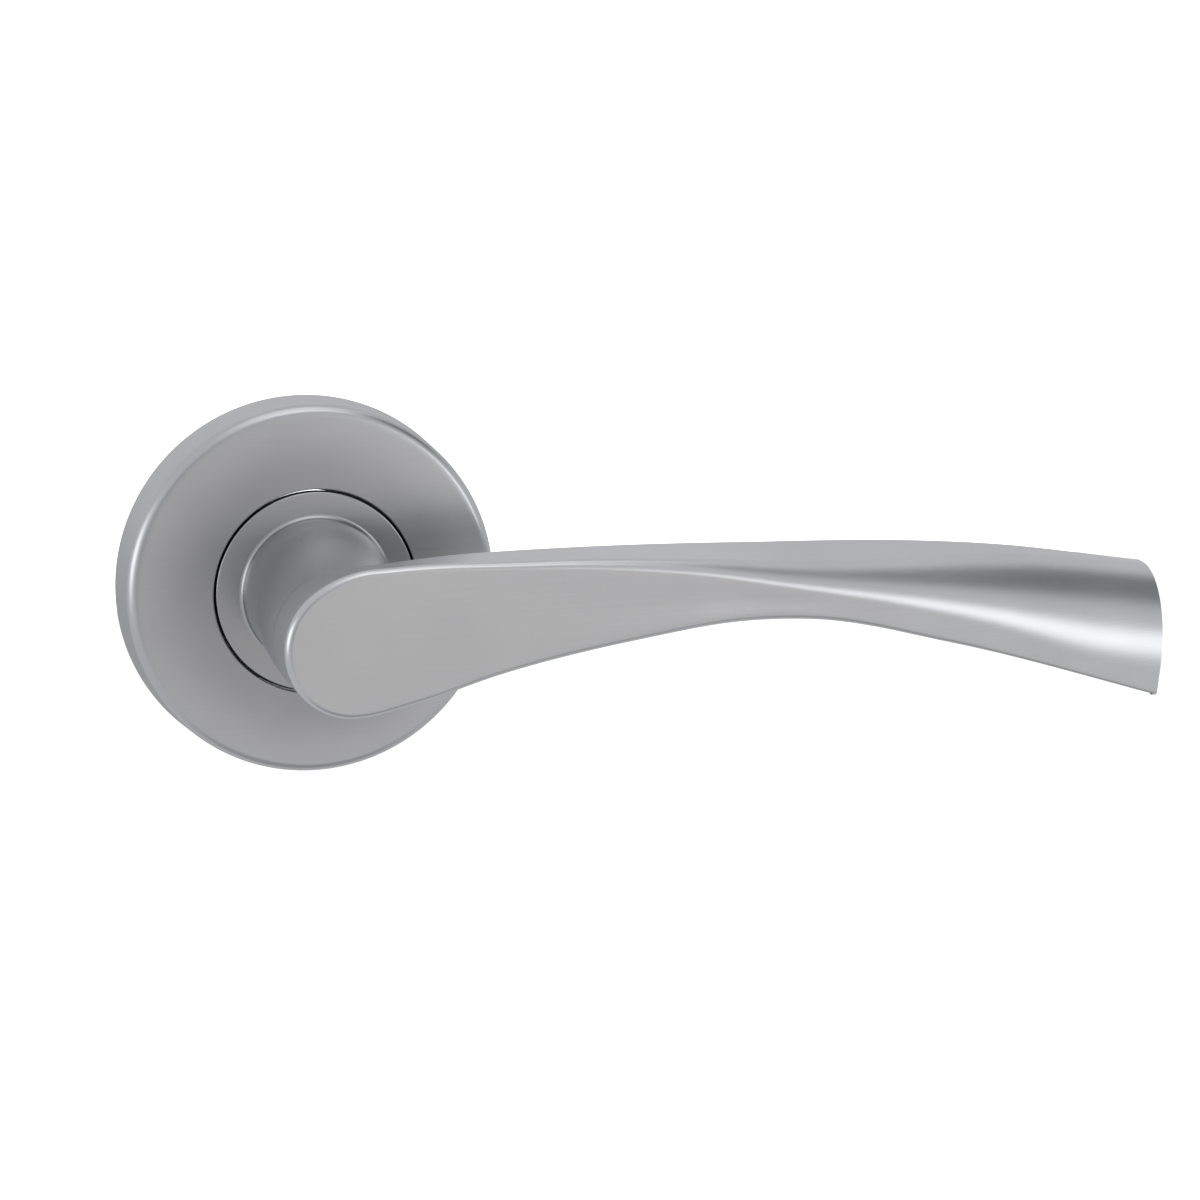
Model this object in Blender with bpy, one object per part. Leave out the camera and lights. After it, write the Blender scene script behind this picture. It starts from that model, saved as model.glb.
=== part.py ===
"""Sprung lever door handle on a round rose, for one side of a door.

The origin is on the spindle's axis in the plane of the door's face. The door is
at +Y, the user at -Y, the lever points along +X and +Z is up. Depths measured
from the door's face towards the user are called out, so out = -y.
"""

import math

import bmesh
import bpy
import numpy as np
from mathutils import Matrix, Vector

MM = 0.001
SEAT_GAP = 0.3 * MM  # between pieces that rest on or sit in each other
RUNNING_CLEARANCE = 0.2 * MM  # around the turning journal
SIDE_CLEARANCE = 0.45 * MM  # around the coil and between it and the stop pins
EDGE_CHAMFER = 0.4 * MM  # at the ends of screws and posts

# Spindle and its fixing
SPINDLE_WIDTH = 8.0 * MM
SPINDLE_CHAMFER = 0.5 * MM
SPINDLE_TOP_OUT = 22.0 * MM
SPINDLE_REACH = 38.0 * MM  # behind the door's face
GRUB_RADIUS = 2.5 * MM
GRUB_LENGTH = 5.0 * MM
GRUB_HEX_WIDTH = 2.5 * MM
GRUB_HEX_DEPTH = 2.2 * MM
GRUB_OUT = 17.0 * MM

# Bearing and the rings that hold the lever to the base plate
JOURNAL_WALL = 1.1 * MM  # between the spindle's corners and the circlip's groove
JOURNAL_END_OUT = 0.1 * MM
LIP_THICKNESS = 0.6 * MM
CIRCLIP_THICKNESS = 0.7 * MM
CIRCLIP_WIDTH = 2.8 * MM
CIRCLIP_GROOVE_DEPTH = 0.8 * MM
CIRCLIP_OPENING = math.radians(44)
CIRCLIP_EYE_RADIUS = 0.7 * MM
CIRCLIP_EYE_ANGLE = math.radians(8)  # from each end of the ring
WASHER_THICKNESS = 0.4 * MM
WASHER_WIDTH = 3.7 * MM
WEB_THICKNESS = 1.0 * MM
BUSH_WALL = 1.0 * MM
BUSH_FLANGE_WIDTH = 0.7 * MM
BUSH_FLANGE_THICKNESS = 0.5 * MM

# Return spring
SPRING_WIRE = 1.1 * MM
SPRING_TURNS = 1.5
SPRING_COIL_GAP = 0.1 * MM
SPRING_BACK_ANGLE = math.radians(180)
SPRING_BEND = math.radians(5)  # taken by the bend between the coil and each leg

# Stop pins: they turn with the lever between the ends of two slots in the base plate
PIN_RADIUS = 0.7 * MM
PIN_ANGLES = (math.radians(115), math.radians(-65))
PIN_DEPTH_IN_FLANGE = 1.1 * MM
LEVER_TRAVEL = math.radians(50)

# Lever: flange and neck
FLANGE_EDGE = 0.4 * MM  # outside the holes of the stop pins
FLANGE_THICKNESS = 1.8 * MM
FLANGE_CHAMFER = 0.2 * MM
FLANGE_STEP = 3.7 * MM  # how far the flange stands out from the neck
NECK_FILLET = 0.6 * MM
NECK_TOP_CENTRE = (-2.2 * MM, -0.8 * MM)  # (x, z): the neck leans into the round head
NECK_TOP_DEPTH = 6.0 * MM  # of the neck's end below the head's front face
NECK_TOP_INSET = 0.2 * MM  # how much the neck's end is smaller than the head

# Lever: head and blade
FRONT_OUT = 44.0 * MM  # the head's flat front face
HEAD_RADIUS = 8.9 * MM
HEAD_CENTRE = (-2.6 * MM, -0.9 * MM)  # (x, z)
HEAD_SHOULDER = 0.8 * MM  # how far the head's top edge rises above its round
SHOULDER_ANGLE = math.radians(36)  # where it leaves the round, from the top
HEAD_EDGE_RADIUS = 0.9 * MM
BACK_EDGE_RADIUS = 1.4 * MM
BLADE_LENGTH = 116.1 * MM  # from the head's centre to the middle of the end cut
BLADE_END_SLANT = math.radians(6.5)  # the end cut leans towards square with the blade
BLADE_SLANT_START = 0.7  # as a share of the blade's length
BLADE_END_ROUNDING = 0.9 * MM
BLADE_CORNER_ROUNDING = 1.4 * MM  # of the end cut's upper and lower corners

# Each curve below gives one size of the blade as points (share of its length, millimetres).
# Heights are above the spindle's axis. At the share 0 they meet the round head.
# Front crease, where the front face would meet the top face without their rounding.
CREASE_HEIGHT = (
    (0.045, 9.25), (0.09, 9.35), (0.16, 9.1), (0.27, 8.7), (0.39, 7.7), (0.51, 6.0), (0.64, 4.6),
    (0.77, 3.7), (0.91, 2.2), (1, 1.1)
)
# Underside of the front face: it rises to the waist, then falls to the tip.
UNDERSIDE_HEIGHT = (
    (0.07, -8.4), (0.16, -5.6), (0.33, -2.2), (0.45, -0.8), (0.54, -1.3), (0.71, -5.9), (1, -16.1)
)
# Top edge at the back of the blade.
BACK_TOP_HEIGHT = ((0.14, 9.0), (0.28, 9.15), (0.49, 8.6), (0.68, 7.65), (0.81, 6.15), (1, 2.3))
# Bottom edge at the back: it lifts away from the front one as the blade twists.
BACK_UNDERSIDE_HEIGHT = ((0.07, -8.4), (0.16, -5.6), (0.45, -0.4), (0.54, -0.3), (0.71, -2.4), (1, -8.7))
# How far the crease's rounding reaches down the front face and back over the top face.
CREASE_ROLL_DOWN = ((0, 0.9), (0.33, 1.2), (0.51, 2.4), (0.64, 4.0), (0.77, 7.2), (0.91, 11.5), (1, 12.8))
CREASE_ROLL_BACK = ((0, 0.9), (0.33, 1.3), (0.51, 2.6), (0.64, 4.0), (0.77, 6.2), (0.91, 7.8), (1, 8.3))
BLADE_DEPTH = ((0, 9.5), (0.28, 9.5), (0.63, 10.0), (1, 10.5))

# Rose cover
ROSE_BAND = 12.5 * MM  # width of the rose outside the flange
ROSE_DOME = 0.5 * MM  # how far the face rises from its rim to its hole
ROSE_DRAFT = 0.6 * MM  # how much the side narrows towards the face
ROSE_EDGE_RADIUS = 1.5 * MM
ROSE_SHEET = 1.2 * MM
ROSE_HOLE_GAP = 0.3 * MM  # the fine ring gap around the lever's flange

# Base plate
PLATE_THICKNESS = 3.4 * MM
PLATE_COVER_GAP = 0.5 * MM
PLATE_RIM_WIDTH = 1.9 * MM
PLATE_RIM_CLEARANCE = 1.7 * MM  # between the rim and the inside of the cover's face
POCKET_WALL = 1.0 * MM
POCKET_GAP = 0.6 * MM  # between the flange's rim and the pocket wall
SNAP_RING_SIZE = 1.0 * MM
SNAP_RING_OUT = 3.3 * MM
SNAP_RING_OPENING = math.radians(30)

# Fixings: two threaded posts and four wood screws on one circle
FIXING_CLEARANCE = 0.3 * MM  # between the countersinks and the pocket wall
POST_RADIUS = 3.5 * MM
POST_LENGTH = 10.0 * MM
POST_NECK_RADIUS = 2.5 * MM
POST_BORE_RADIUS = 1.65 * MM  # tapping size of an M4 thread
POST_BORE_DEPTH = 9.0 * MM
SCREW_HEAD_RADIUS = 2.8 * MM
SCREW_HEAD_HEIGHT = 1.7 * MM
SCREW_HEAD_LAND = 0.2 * MM
SCREW_SHANK_RADIUS = 1.5 * MM
SCREW_POINT_RADIUS = 0.15 * MM
SCREW_LENGTH = 16.0 * MM
SCREW_TIP_LENGTH = 4.0 * MM
SCREW_SLOT_WIDTH = 0.9 * MM
SCREW_SLOT_LENGTH = 3.2 * MM
SCREW_SLOT_DEPTH = 1.1 * MM

# Facets
LARGE_ROUND = 48
SMALL_ROUND = 20
TINY_ROUND = 12
ARC_STEPS = 4
NECK_STEPS = 7
BLADE_STATIONS = 36
HEAD_STEPS = 14
SPRING_STEPS = 30
PLATE_FACET_START = math.radians(2)  # keeps the plate's facet edges off its holes' centre lines
SHARP_EDGE = math.radians(30)
CUT_PAST = 1.0 * MM  # how far a cutting shape reaches beyond the surface that it opens

# Radii worked outwards from the spindle to the rose's rim
SOCKET_WIDTH = SPINDLE_WIDTH + 2 * SEAT_GAP
JOURNAL_RADIUS = round(SOCKET_WIDTH / math.sqrt(2) + JOURNAL_WALL + CIRCLIP_GROOVE_DEPTH, 4)
BUSH_RADIUS = JOURNAL_RADIUS + RUNNING_CLEARANCE + BUSH_WALL
SPRING_RADIUS = BUSH_RADIUS + BUSH_FLANGE_WIDTH + SIDE_CLEARANCE + SPRING_WIRE / 2
PIN_CIRCLE = SPRING_RADIUS + SPRING_WIRE / 2 + SIDE_CLEARANCE + PIN_RADIUS
FLANGE_RADIUS = PIN_CIRCLE + PIN_RADIUS + SEAT_GAP + FLANGE_EDGE
POCKET_RADIUS = FLANGE_RADIUS + POCKET_GAP
FIXING_CIRCLE = POCKET_RADIUS + POCKET_WALL + FIXING_CLEARANCE + SCREW_HEAD_RADIUS + SEAT_GAP
ROSE_RADIUS = FLANGE_RADIUS + ROSE_BAND
PLATE_RADIUS = ROSE_RADIUS - ROSE_DRAFT - ROSE_SHEET - PLATE_COVER_GAP
NECK_RADIUS = FLANGE_RADIUS - FLANGE_STEP
NECK_TOP_RADIUS = HEAD_RADIUS - NECK_TOP_INSET
SHOULDER_SLOPE = 2 * HEAD_SHOULDER / (SHOULDER_ANGLE * HEAD_RADIUS)

# Depths worked outwards from the journal's end to the rose's face
CIRCLIP_OUT = JOURNAL_END_OUT + LIP_THICKNESS + SEAT_GAP
WASHER_OUT = CIRCLIP_OUT + CIRCLIP_THICKNESS + SEAT_GAP
WEB_OUT = WASHER_OUT + WASHER_THICKNESS + SEAT_GAP
WEB_FRONT_OUT = WEB_OUT + WEB_THICKNESS
SPRING_BACK_OUT = WEB_FRONT_OUT + SEAT_GAP + SPRING_WIRE / 2
SPRING_FRONT_OUT = SPRING_BACK_OUT + SPRING_TURNS * (SPRING_WIRE + SPRING_COIL_GAP)
FLANGE_BACK_OUT = SPRING_FRONT_OUT + SPRING_WIRE / 2 + SEAT_GAP
ROSE_HEIGHT = FLANGE_BACK_OUT + FLANGE_THICKNESS
NECK_TOP_OUT = FRONT_OUT - NECK_TOP_DEPTH
POCKET_HEIGHT = FLANGE_BACK_OUT
PLATE_RIM_HEIGHT = ROSE_HEIGHT - ROSE_DOME - ROSE_SHEET - PLATE_RIM_CLEARANCE
SPRING_HOLE_RADIUS = SPRING_WIRE / 2 + SEAT_GAP


def clear_scene():
    for obj in list(bpy.data.objects):
        bpy.data.objects.remove(obj, do_unlink=True)


def material(name, color, roughness, metallic):
    mat = bpy.data.materials.new(name)
    mat.use_nodes = True
    shader = mat.node_tree.nodes["Principled BSDF"]
    shader.inputs["Base Color"].default_value = (*color, 1.0)
    shader.inputs["Roughness"].default_value = roughness
    shader.inputs["Metallic"].default_value = metallic
    return mat


def add_object(name, bm, mat, parent=None, location=(0, 0, 0)):
    """Turns a bmesh into a named object with outward faces, one material and smooth rounds."""
    bmesh.ops.recalc_face_normals(bm, faces=bm.faces)
    mesh = bpy.data.meshes.new(name)
    bm.to_mesh(mesh)
    bm.free()
    obj = bpy.data.objects.new(name, mesh)
    bpy.context.scene.collection.objects.link(obj)
    obj.location = location
    obj.parent = parent
    mesh.materials.append(mat)
    mesh.shade_smooth()
    mesh.set_sharp_from_angle(angle=SHARP_EDGE)
    return obj


def add_cutter(name, bm):
    """A helper shape that the build leaves out."""
    bmesh.ops.recalc_face_normals(bm, faces=bm.faces)
    mesh = bpy.data.meshes.new(name)
    bm.to_mesh(mesh)
    bm.free()
    obj = bpy.data.objects.new(name, mesh)
    bpy.context.scene.collection.objects.link(obj)
    obj.hide_render = True
    obj.display_type = "WIRE"
    return obj


def combine(obj, other, operation):
    modifier = obj.modifiers.new(other.name, "BOOLEAN")
    modifier.object = other
    modifier.operation = operation


def add_empty(name):
    empty = bpy.data.objects.new(name, None)
    bpy.context.scene.collection.objects.link(empty)
    return empty


# Shapes


def point_on_y(radius, out, angle):
    """A point at this radius from the spindle's axis; the angle goes from +X to +Z."""
    return Vector((radius * math.cos(angle), -out, radius * math.sin(angle)))


def bridge(bm, ring_a, ring_b):
    for i in range(len(ring_a)):
        j = (i + 1) % len(ring_a)
        bm.faces.new((ring_a[i], ring_a[j], ring_b[j], ring_b[i]))


def turned(profile, segments, start=0.0, sweep=2 * math.pi):
    """Turns a closed (radius, out) outline about the spindle's axis, fully or through a sweep."""
    bm = bmesh.new()
    whole = math.isclose(sweep, 2 * math.pi)
    count = segments if whole else segments + 1
    rings = []
    for step in range(count):
        angle = start + sweep * step / segments
        rings.append([bm.verts.new(point_on_y(radius, out, angle)) for radius, out in profile])
    for step in range(segments):
        bridge(bm, rings[step], rings[(step + 1) % count])
    if not whole:
        bm.faces.new(rings[0])
        bm.faces.new(rings[-1])
    return bm


def turned_solid(profile, segments):
    """Turns an open (radius, out) outline and closes its two ends with flat discs."""
    bm = bmesh.new()
    rings = []
    angles = [2 * math.pi * (step + 0.5) / segments for step in range(segments)]
    for radius, out in profile:
        rings.append([bm.verts.new(point_on_y(radius, out, angle)) for angle in angles])
    for ring_a, ring_b in zip(rings, rings[1:]):
        bridge(bm, ring_a, ring_b)
    bm.faces.new(rings[0])
    bm.faces.new(rings[-1])
    return bm


def arc(centre, radius, start, end, steps):
    """Points (radius, out) along an arc; angles go from the outward radius towards the user."""
    points = []
    for step in range(steps + 1):
        angle = start + (end - start) * step / steps
        points.append((centre[0] + radius * math.cos(angle), centre[1] + radius * math.sin(angle)))
    return points


def cylinder_y(radius, out_low, out_high, segments):
    return turned_solid([(radius, out_low), (radius, out_high)], segments)


def moved(bm, offset):
    bmesh.ops.translate(bm, verts=bm.verts, vec=offset)
    return bm


def box(size, centre):
    bm = bmesh.new()
    bmesh.ops.create_cube(bm, size=1.0)
    bmesh.ops.scale(bm, vec=size, verts=bm.verts)
    return moved(bm, centre)


def arc_slot(circle, half_width, out_low, out_high, angle_low, angle_high):
    """A round-ended slot along a circle about the spindle's axis, for cutting."""
    steps = ARC_STEPS * 2
    sides = ((angle_high, angle_low, circle - half_width), (angle_low, angle_high, circle + half_width))
    outline = []
    for number, (near, far, side_radius) in enumerate(sides):
        centre = circle * Vector((math.cos(near), math.sin(near)))
        for step in range(steps + 1):
            around = near + math.pi * (number + step / steps)
            outline.append(centre + half_width * Vector((math.cos(around), math.sin(around))))
        for step in range(1, steps):
            along = near + (far - near) * step / steps
            outline.append(side_radius * Vector((math.cos(along), math.sin(along))))
    bm = bmesh.new()
    low = [bm.verts.new((x, -out_low, z)) for x, z in outline]
    high = [bm.verts.new((x, -out_high, z)) for x, z in outline]
    bridge(bm, low, high)
    bm.faces.new(low)
    bm.faces.new(high)
    return bm


def value_at(curve, share, start=None, start_slope=0.0):
    """Reads a smooth curve through (share, millimetres) points, in metres."""
    places = [point[0] for point in curve]
    values = [point[1] * MM for point in curve]
    if start is not None:
        places.insert(0, 0.0)
        values.insert(0, start)
    slopes = np.gradient(values, places)
    slopes[0] = start_slope
    share = min(max(share, 0.0), 1.0)
    i = min(int(np.searchsorted(places, share, side="right")) - 1, len(places) - 2)
    width = places[i + 1] - places[i]
    t = (share - places[i]) / width
    near = (1 + 2 * t) * (1 - t) ** 2 * values[i] + t * (1 - t) ** 2 * width * slopes[i]
    far = t**2 * (3 - 2 * t) * values[i + 1] + t**2 * (t - 1) * width * slopes[i + 1]
    return float(near + far)


def rounded_corner(before, corner, after, reach_before, reach_after, steps):
    """Rounds a corner with a quarter of an ellipse that touches both sides."""
    start = corner + (before - corner).normalized() * reach_before
    end = corner + (after - corner).normalized() * reach_after
    weight = math.sqrt(0.5)
    points = []
    for step in range(steps + 1):
        t = step / steps
        shares = ((1 - t) ** 2, 2 * t * (1 - t) * weight, t**2)
        total = sum(shares)
        points.append((start * shares[0] + corner * shares[1] + end * shares[2]) / total)
    return points


def blade_section(share, shoulder=HEAD_SHOULDER):
    """The blade's outline in (y, z) at this share of its length, as its upper and lower halves."""
    head_top = HEAD_CENTRE[1] + HEAD_RADIUS
    head_bottom = HEAD_CENTRE[1] - HEAD_RADIUS
    front = -FRONT_OUT
    back = front + value_at(BLADE_DEPTH, share)
    slope = SHOULDER_SLOPE * BLADE_LENGTH
    front_top = Vector((front, value_at(CREASE_HEIGHT, share, head_top + shoulder, slope)))
    back_top = Vector((back, value_at(BACK_TOP_HEIGHT, share, head_top)))
    back_bottom = Vector((back, value_at(BACK_UNDERSIDE_HEIGHT, share, head_bottom)))
    front_bottom = Vector((front, value_at(UNDERSIDE_HEIGHT, share, head_bottom)))
    down = value_at(CREASE_ROLL_DOWN, share)
    over = value_at(CREASE_ROLL_BACK, share)
    edge = HEAD_EDGE_RADIUS
    round_back = BACK_EDGE_RADIUS
    upper = rounded_corner(front_bottom, front_top, back_top, down, over, ARC_STEPS + 2)
    upper += rounded_corner(front_top, back_top, back_bottom, round_back, round_back, ARC_STEPS - 1)
    lower = rounded_corner(back_top, back_bottom, front_bottom, round_back, round_back, ARC_STEPS - 1)
    lower += rounded_corner(back_bottom, front_bottom, front_top, edge, edge, ARC_STEPS + 2)
    return upper, lower


def slant_at(share):
    """How far the sections near the end lean along the blade for each unit of height."""
    past_start = max(0.0, (share - BLADE_SLANT_START) / (1 - BLADE_SLANT_START))
    return math.tan(BLADE_END_SLANT) * past_start**2


def blade():
    """The lever's blade: a round flat head that twists into a rolled grip."""
    bm = bmesh.new()
    last_share = 1 - BLADE_END_ROUNDING / BLADE_LENGTH
    rings = []
    for step in range(BLADE_STATIONS + 1):
        share = last_share * step / BLADE_STATIONS
        x = HEAD_CENTRE[0] + BLADE_LENGTH * share
        upper, lower = blade_section(share)
        middle = (upper[0].y + lower[-1].y) / 2
        slant = slant_at(share)
        ring = [bm.verts.new((x + slant * (p.y - middle), p.x, p.y)) for p in upper + lower]
        rings.append(ring)
    add_blade_end(bm, rings, last_share)
    for ring_a, ring_b in zip(rings, rings[1:]):
        bridge(bm, ring_a, ring_b)
    bm.faces.new(rings[-1])
    add_round_head(bm, rings[0])
    return bm


def add_blade_end(bm, rings, last_share):
    """Rounds the edge of the end cut by drawing the last section in."""
    upper, lower = blade_section(last_share)
    points = upper + lower
    middle = sum((Vector(p) for p in points), Vector((0, 0))) / len(points)
    half_depth = max(abs(p.x - middle.x) for p in points)
    half_height = max(abs(p.y - middle.y) for p in points)
    last_x = HEAD_CENTRE[0] + BLADE_LENGTH * last_share
    slant = slant_at(1.0)
    for step in range(1, ARC_STEPS + 1):
        angle = math.pi / 2 * step / ARC_STEPS
        x = last_x + BLADE_END_ROUNDING * math.sin(angle)
        keep_depth = 1 - BLADE_END_ROUNDING * (1 - math.cos(angle)) / half_depth
        keep_height = 1 - BLADE_CORNER_ROUNDING * (1 - math.cos(angle)) / half_height
        ring = []
        for p in points:
            y = middle.x + (p.x - middle.x) * keep_depth
            z = middle.y + (p.y - middle.y) * keep_height
            ring.append(bm.verts.new((x + slant * (z - middle.y), y, z)))
        rings.append(ring)


def add_round_head(bm, first_ring):
    """Turns the first section's upper half about the head's centre to meet its lower half."""
    half = len(first_ring) // 2
    upper = first_ring[:half]
    round_upper, _ = blade_section(0.0, 0.0)
    lower = list(reversed(first_ring[half:]))
    fans = [upper]
    for step in range(1, HEAD_STEPS):
        angle = math.pi * step / HEAD_STEPS
        kept = max(0.0, 1 - angle / SHOULDER_ANGLE) ** 2
        ring = []
        for vert, round_point in zip(upper, round_upper):
            y, height = round_point.lerp(vert.co.yz, kept)
            reach = height - HEAD_CENTRE[1]
            x = HEAD_CENTRE[0] - reach * math.sin(angle)
            z = HEAD_CENTRE[1] + reach * math.cos(angle)
            ring.append(bm.verts.new((x, y, z)))
        fans.append(ring)
    fans.append(lower)
    for ring_a, ring_b in zip(fans, fans[1:]):
        for i in range(half - 1):
            bm.faces.new((ring_a[i], ring_a[i + 1], ring_b[i + 1], ring_b[i]))
    bm.faces.new([ring[0] for ring in fans])
    bm.faces.new([ring[-1] for ring in fans])


def neck_and_flange():
    """Journal with its circlip groove, flange and the neck that leans into the head."""
    groove_radius = JOURNAL_RADIUS - CIRCLIP_GROOVE_DEPTH
    groove_low = CIRCLIP_OUT - SEAT_GAP
    groove_high = WASHER_OUT
    fillet_centre = (NECK_RADIUS + NECK_FILLET, ROSE_HEIGHT + NECK_FILLET)
    profile = [
        (JOURNAL_RADIUS, JOURNAL_END_OUT),
        (JOURNAL_RADIUS, groove_low),
        (groove_radius, groove_low),
        (groove_radius, groove_high),
        (JOURNAL_RADIUS, groove_high),
        (JOURNAL_RADIUS, FLANGE_BACK_OUT),
        (FLANGE_RADIUS, FLANGE_BACK_OUT),
        (FLANGE_RADIUS, ROSE_HEIGHT - FLANGE_CHAMFER),
        (FLANGE_RADIUS - FLANGE_CHAMFER, ROSE_HEIGHT),
    ]
    profile += arc(fillet_centre, NECK_FILLET, -math.pi / 2, -math.pi, 3)
    bm = bmesh.new()
    angles = [2 * math.pi * step / LARGE_ROUND for step in range(LARGE_ROUND)]
    rings = []
    for radius, out in profile:
        rings.append([bm.verts.new(point_on_y(radius, out, angle)) for angle in angles])
    neck_start = fillet_centre[1]
    for step in range(1, NECK_STEPS + 1):
        share = step / NECK_STEPS
        ease = share * share * (3 - 2 * share)
        radius = NECK_RADIUS + (NECK_TOP_RADIUS - NECK_RADIUS) * ease
        out = neck_start + (NECK_TOP_OUT - neck_start) * share
        lean = Vector((NECK_TOP_CENTRE[0], 0, NECK_TOP_CENTRE[1])) * ease
        rings.append([bm.verts.new(point_on_y(radius, out, angle) + lean) for angle in angles])
    for ring_a, ring_b in zip(rings, rings[1:]):
        bridge(bm, ring_a, ring_b)
    bm.faces.new(rings[0])
    bm.faces.new(rings[-1])
    return bm


def pin_place(angle):
    return point_on_y(PIN_CIRCLE, 0, angle)


def spring_angle(share):
    """The coil winds the way that the lever turns, so pressing the lever tightens it."""
    return SPRING_BACK_ANGLE - 2 * math.pi * SPRING_TURNS * share


# Pieces


def lever_handle(mat, parent):
    lever = add_object("lever_handle", neck_and_flange(), mat, parent)
    combine(lever, add_cutter("blade_form", blade()), "UNION")
    socket_top = SPINDLE_TOP_OUT + SEAT_GAP
    size = (SOCKET_WIDTH, socket_top + CUT_PAST, SOCKET_WIDTH)
    socket = box(size, (0, (CUT_PAST - socket_top) / 2, 0))
    combine(lever, add_cutter("spindle_socket", socket), "DIFFERENCE")
    grub_hole = cylinder_y(GRUB_RADIUS + SEAT_GAP, 0, NECK_RADIUS + CUT_PAST, SMALL_ROUND)
    bmesh.ops.rotate(grub_hole, verts=grub_hole.verts, matrix=Matrix.Rotation(math.pi / 2, 3, "X"))
    moved(grub_hole, (0, -GRUB_OUT, 0))
    combine(lever, add_cutter("grub_hole", grub_hole), "DIFFERENCE")
    hole_top = FLANGE_BACK_OUT + PIN_DEPTH_IN_FLANGE + SEAT_GAP
    places = [(pin_place(angle), PIN_RADIUS + SEAT_GAP) for angle in PIN_ANGLES]
    places.append((point_on_y(SPRING_RADIUS, 0, spring_angle(1.0)), SPRING_HOLE_RADIUS))
    for number, (place, radius) in enumerate(places):
        hole = moved(cylinder_y(radius, FLANGE_BACK_OUT - CUT_PAST, hole_top, SMALL_ROUND), place)
        combine(lever, add_cutter(f"flange_hole_{number}", hole), "DIFFERENCE")


def spindle(mat, parent):
    """Square bar with chamfered ends that carries the turn to the latch."""
    half = SPINDLE_WIDTH / 2
    bm = bmesh.new()
    rings = []
    ends = (
        (half - SPINDLE_CHAMFER, -SPINDLE_REACH),
        (half, -SPINDLE_REACH + SPINDLE_CHAMFER),
        (half, SPINDLE_TOP_OUT - SPINDLE_CHAMFER),
        (half - SPINDLE_CHAMFER, SPINDLE_TOP_OUT),
    )
    for size, out in ends:
        corners = ((size, size), (-size, size), (-size, -size), (size, -size))
        rings.append([bm.verts.new((x, -out, z)) for x, z in corners])
    for ring_a, ring_b in zip(rings, rings[1:]):
        bridge(bm, ring_a, ring_b)
    bm.faces.new(rings[0])
    bm.faces.new(rings[-1])
    add_object("spindle", bm, mat, parent)


def grub_screw(mat, parent):
    """Socket set screw that bears up on the spindle's lower flat."""
    body = [
        (GRUB_RADIUS - 2 * EDGE_CHAMFER, 0),
        (GRUB_RADIUS, 2 * EDGE_CHAMFER),
        (GRUB_RADIUS, GRUB_LENGTH - EDGE_CHAMFER),
        (GRUB_RADIUS - EDGE_CHAMFER, GRUB_LENGTH),
    ]
    place = (0, -GRUB_OUT, -SPINDLE_WIDTH / 2 - SEAT_GAP)
    to_down = Matrix.Rotation(math.pi / 2, 3, "X")
    bm = turned_solid(body, SMALL_ROUND)
    bmesh.ops.rotate(bm, verts=bm.verts, matrix=to_down)
    screw = add_object("spindle_grub_screw", bm, mat, parent, place)
    hex_radius = GRUB_HEX_WIDTH / math.sqrt(3)
    recess = cylinder_y(hex_radius, GRUB_LENGTH - GRUB_HEX_DEPTH, GRUB_LENGTH + CUT_PAST, 6)
    bmesh.ops.rotate(recess, verts=recess.verts, matrix=to_down)
    combine(screw, add_cutter("grub_hex", moved(recess, place)), "DIFFERENCE")


def stop_pins(mat, parent):
    low = WEB_OUT
    high = FLANGE_BACK_OUT + PIN_DEPTH_IN_FLANGE
    for name, angle in zip(("stop_pin_upper", "stop_pin_lower"), PIN_ANGLES):
        bm = cylinder_y(PIN_RADIUS, low, high, SMALL_ROUND)
        add_object(name, bm, mat, parent, pin_place(angle))


def circlip(mat, parent):
    """External retaining ring, open at the bottom, with an eye at each end."""
    inner = JOURNAL_RADIUS - CIRCLIP_GROOVE_DEPTH + SEAT_GAP
    outer = inner + CIRCLIP_WIDTH
    low, high = CIRCLIP_OUT, CIRCLIP_OUT + CIRCLIP_THICKNESS
    profile = [(inner, low), (outer, low), (outer, high), (inner, high)]
    start = -math.pi / 2 + CIRCLIP_OPENING / 2
    bm = turned(profile, LARGE_ROUND // 2, start, 2 * math.pi - CIRCLIP_OPENING)
    ring = add_object("circlip", bm, mat, parent)
    for side in (-1, 1):
        angle = -math.pi / 2 + side * (CIRCLIP_OPENING / 2 + CIRCLIP_EYE_ANGLE)
        place = point_on_y((inner + outer) / 2, 0, angle)
        eye = moved(cylinder_y(CIRCLIP_EYE_RADIUS, low - CUT_PAST, high + CUT_PAST, TINY_ROUND), place)
        combine(ring, add_cutter(f"circlip_eye_{side + 1}", eye), "DIFFERENCE")


def thrust_washer(mat, parent):
    inner = JOURNAL_RADIUS + SEAT_GAP
    outer = inner + WASHER_WIDTH
    low, high = WASHER_OUT, WASHER_OUT + WASHER_THICKNESS
    profile = [(inner, low), (outer, low), (outer, high), (inner, high)]
    add_object("thrust_washer", turned(profile, LARGE_ROUND // 2), mat, parent)


def bearing_bush(mat, parent):
    inner = JOURNAL_RADIUS + RUNNING_CLEARANCE
    seat = WEB_FRONT_OUT + SEAT_GAP
    flange = BUSH_RADIUS + BUSH_FLANGE_WIDTH
    high = FLANGE_BACK_OUT - SEAT_GAP
    profile = [
        (inner, WEB_OUT),
        (BUSH_RADIUS, WEB_OUT),
        (BUSH_RADIUS, seat),
        (flange, seat),
        (flange, seat + BUSH_FLANGE_THICKNESS),
        (BUSH_RADIUS, seat + BUSH_FLANGE_THICKNESS),
        (BUSH_RADIUS, high),
        (inner, high),
    ]
    add_object("bearing_bush", turned(profile, LARGE_ROUND), mat, parent)


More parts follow.
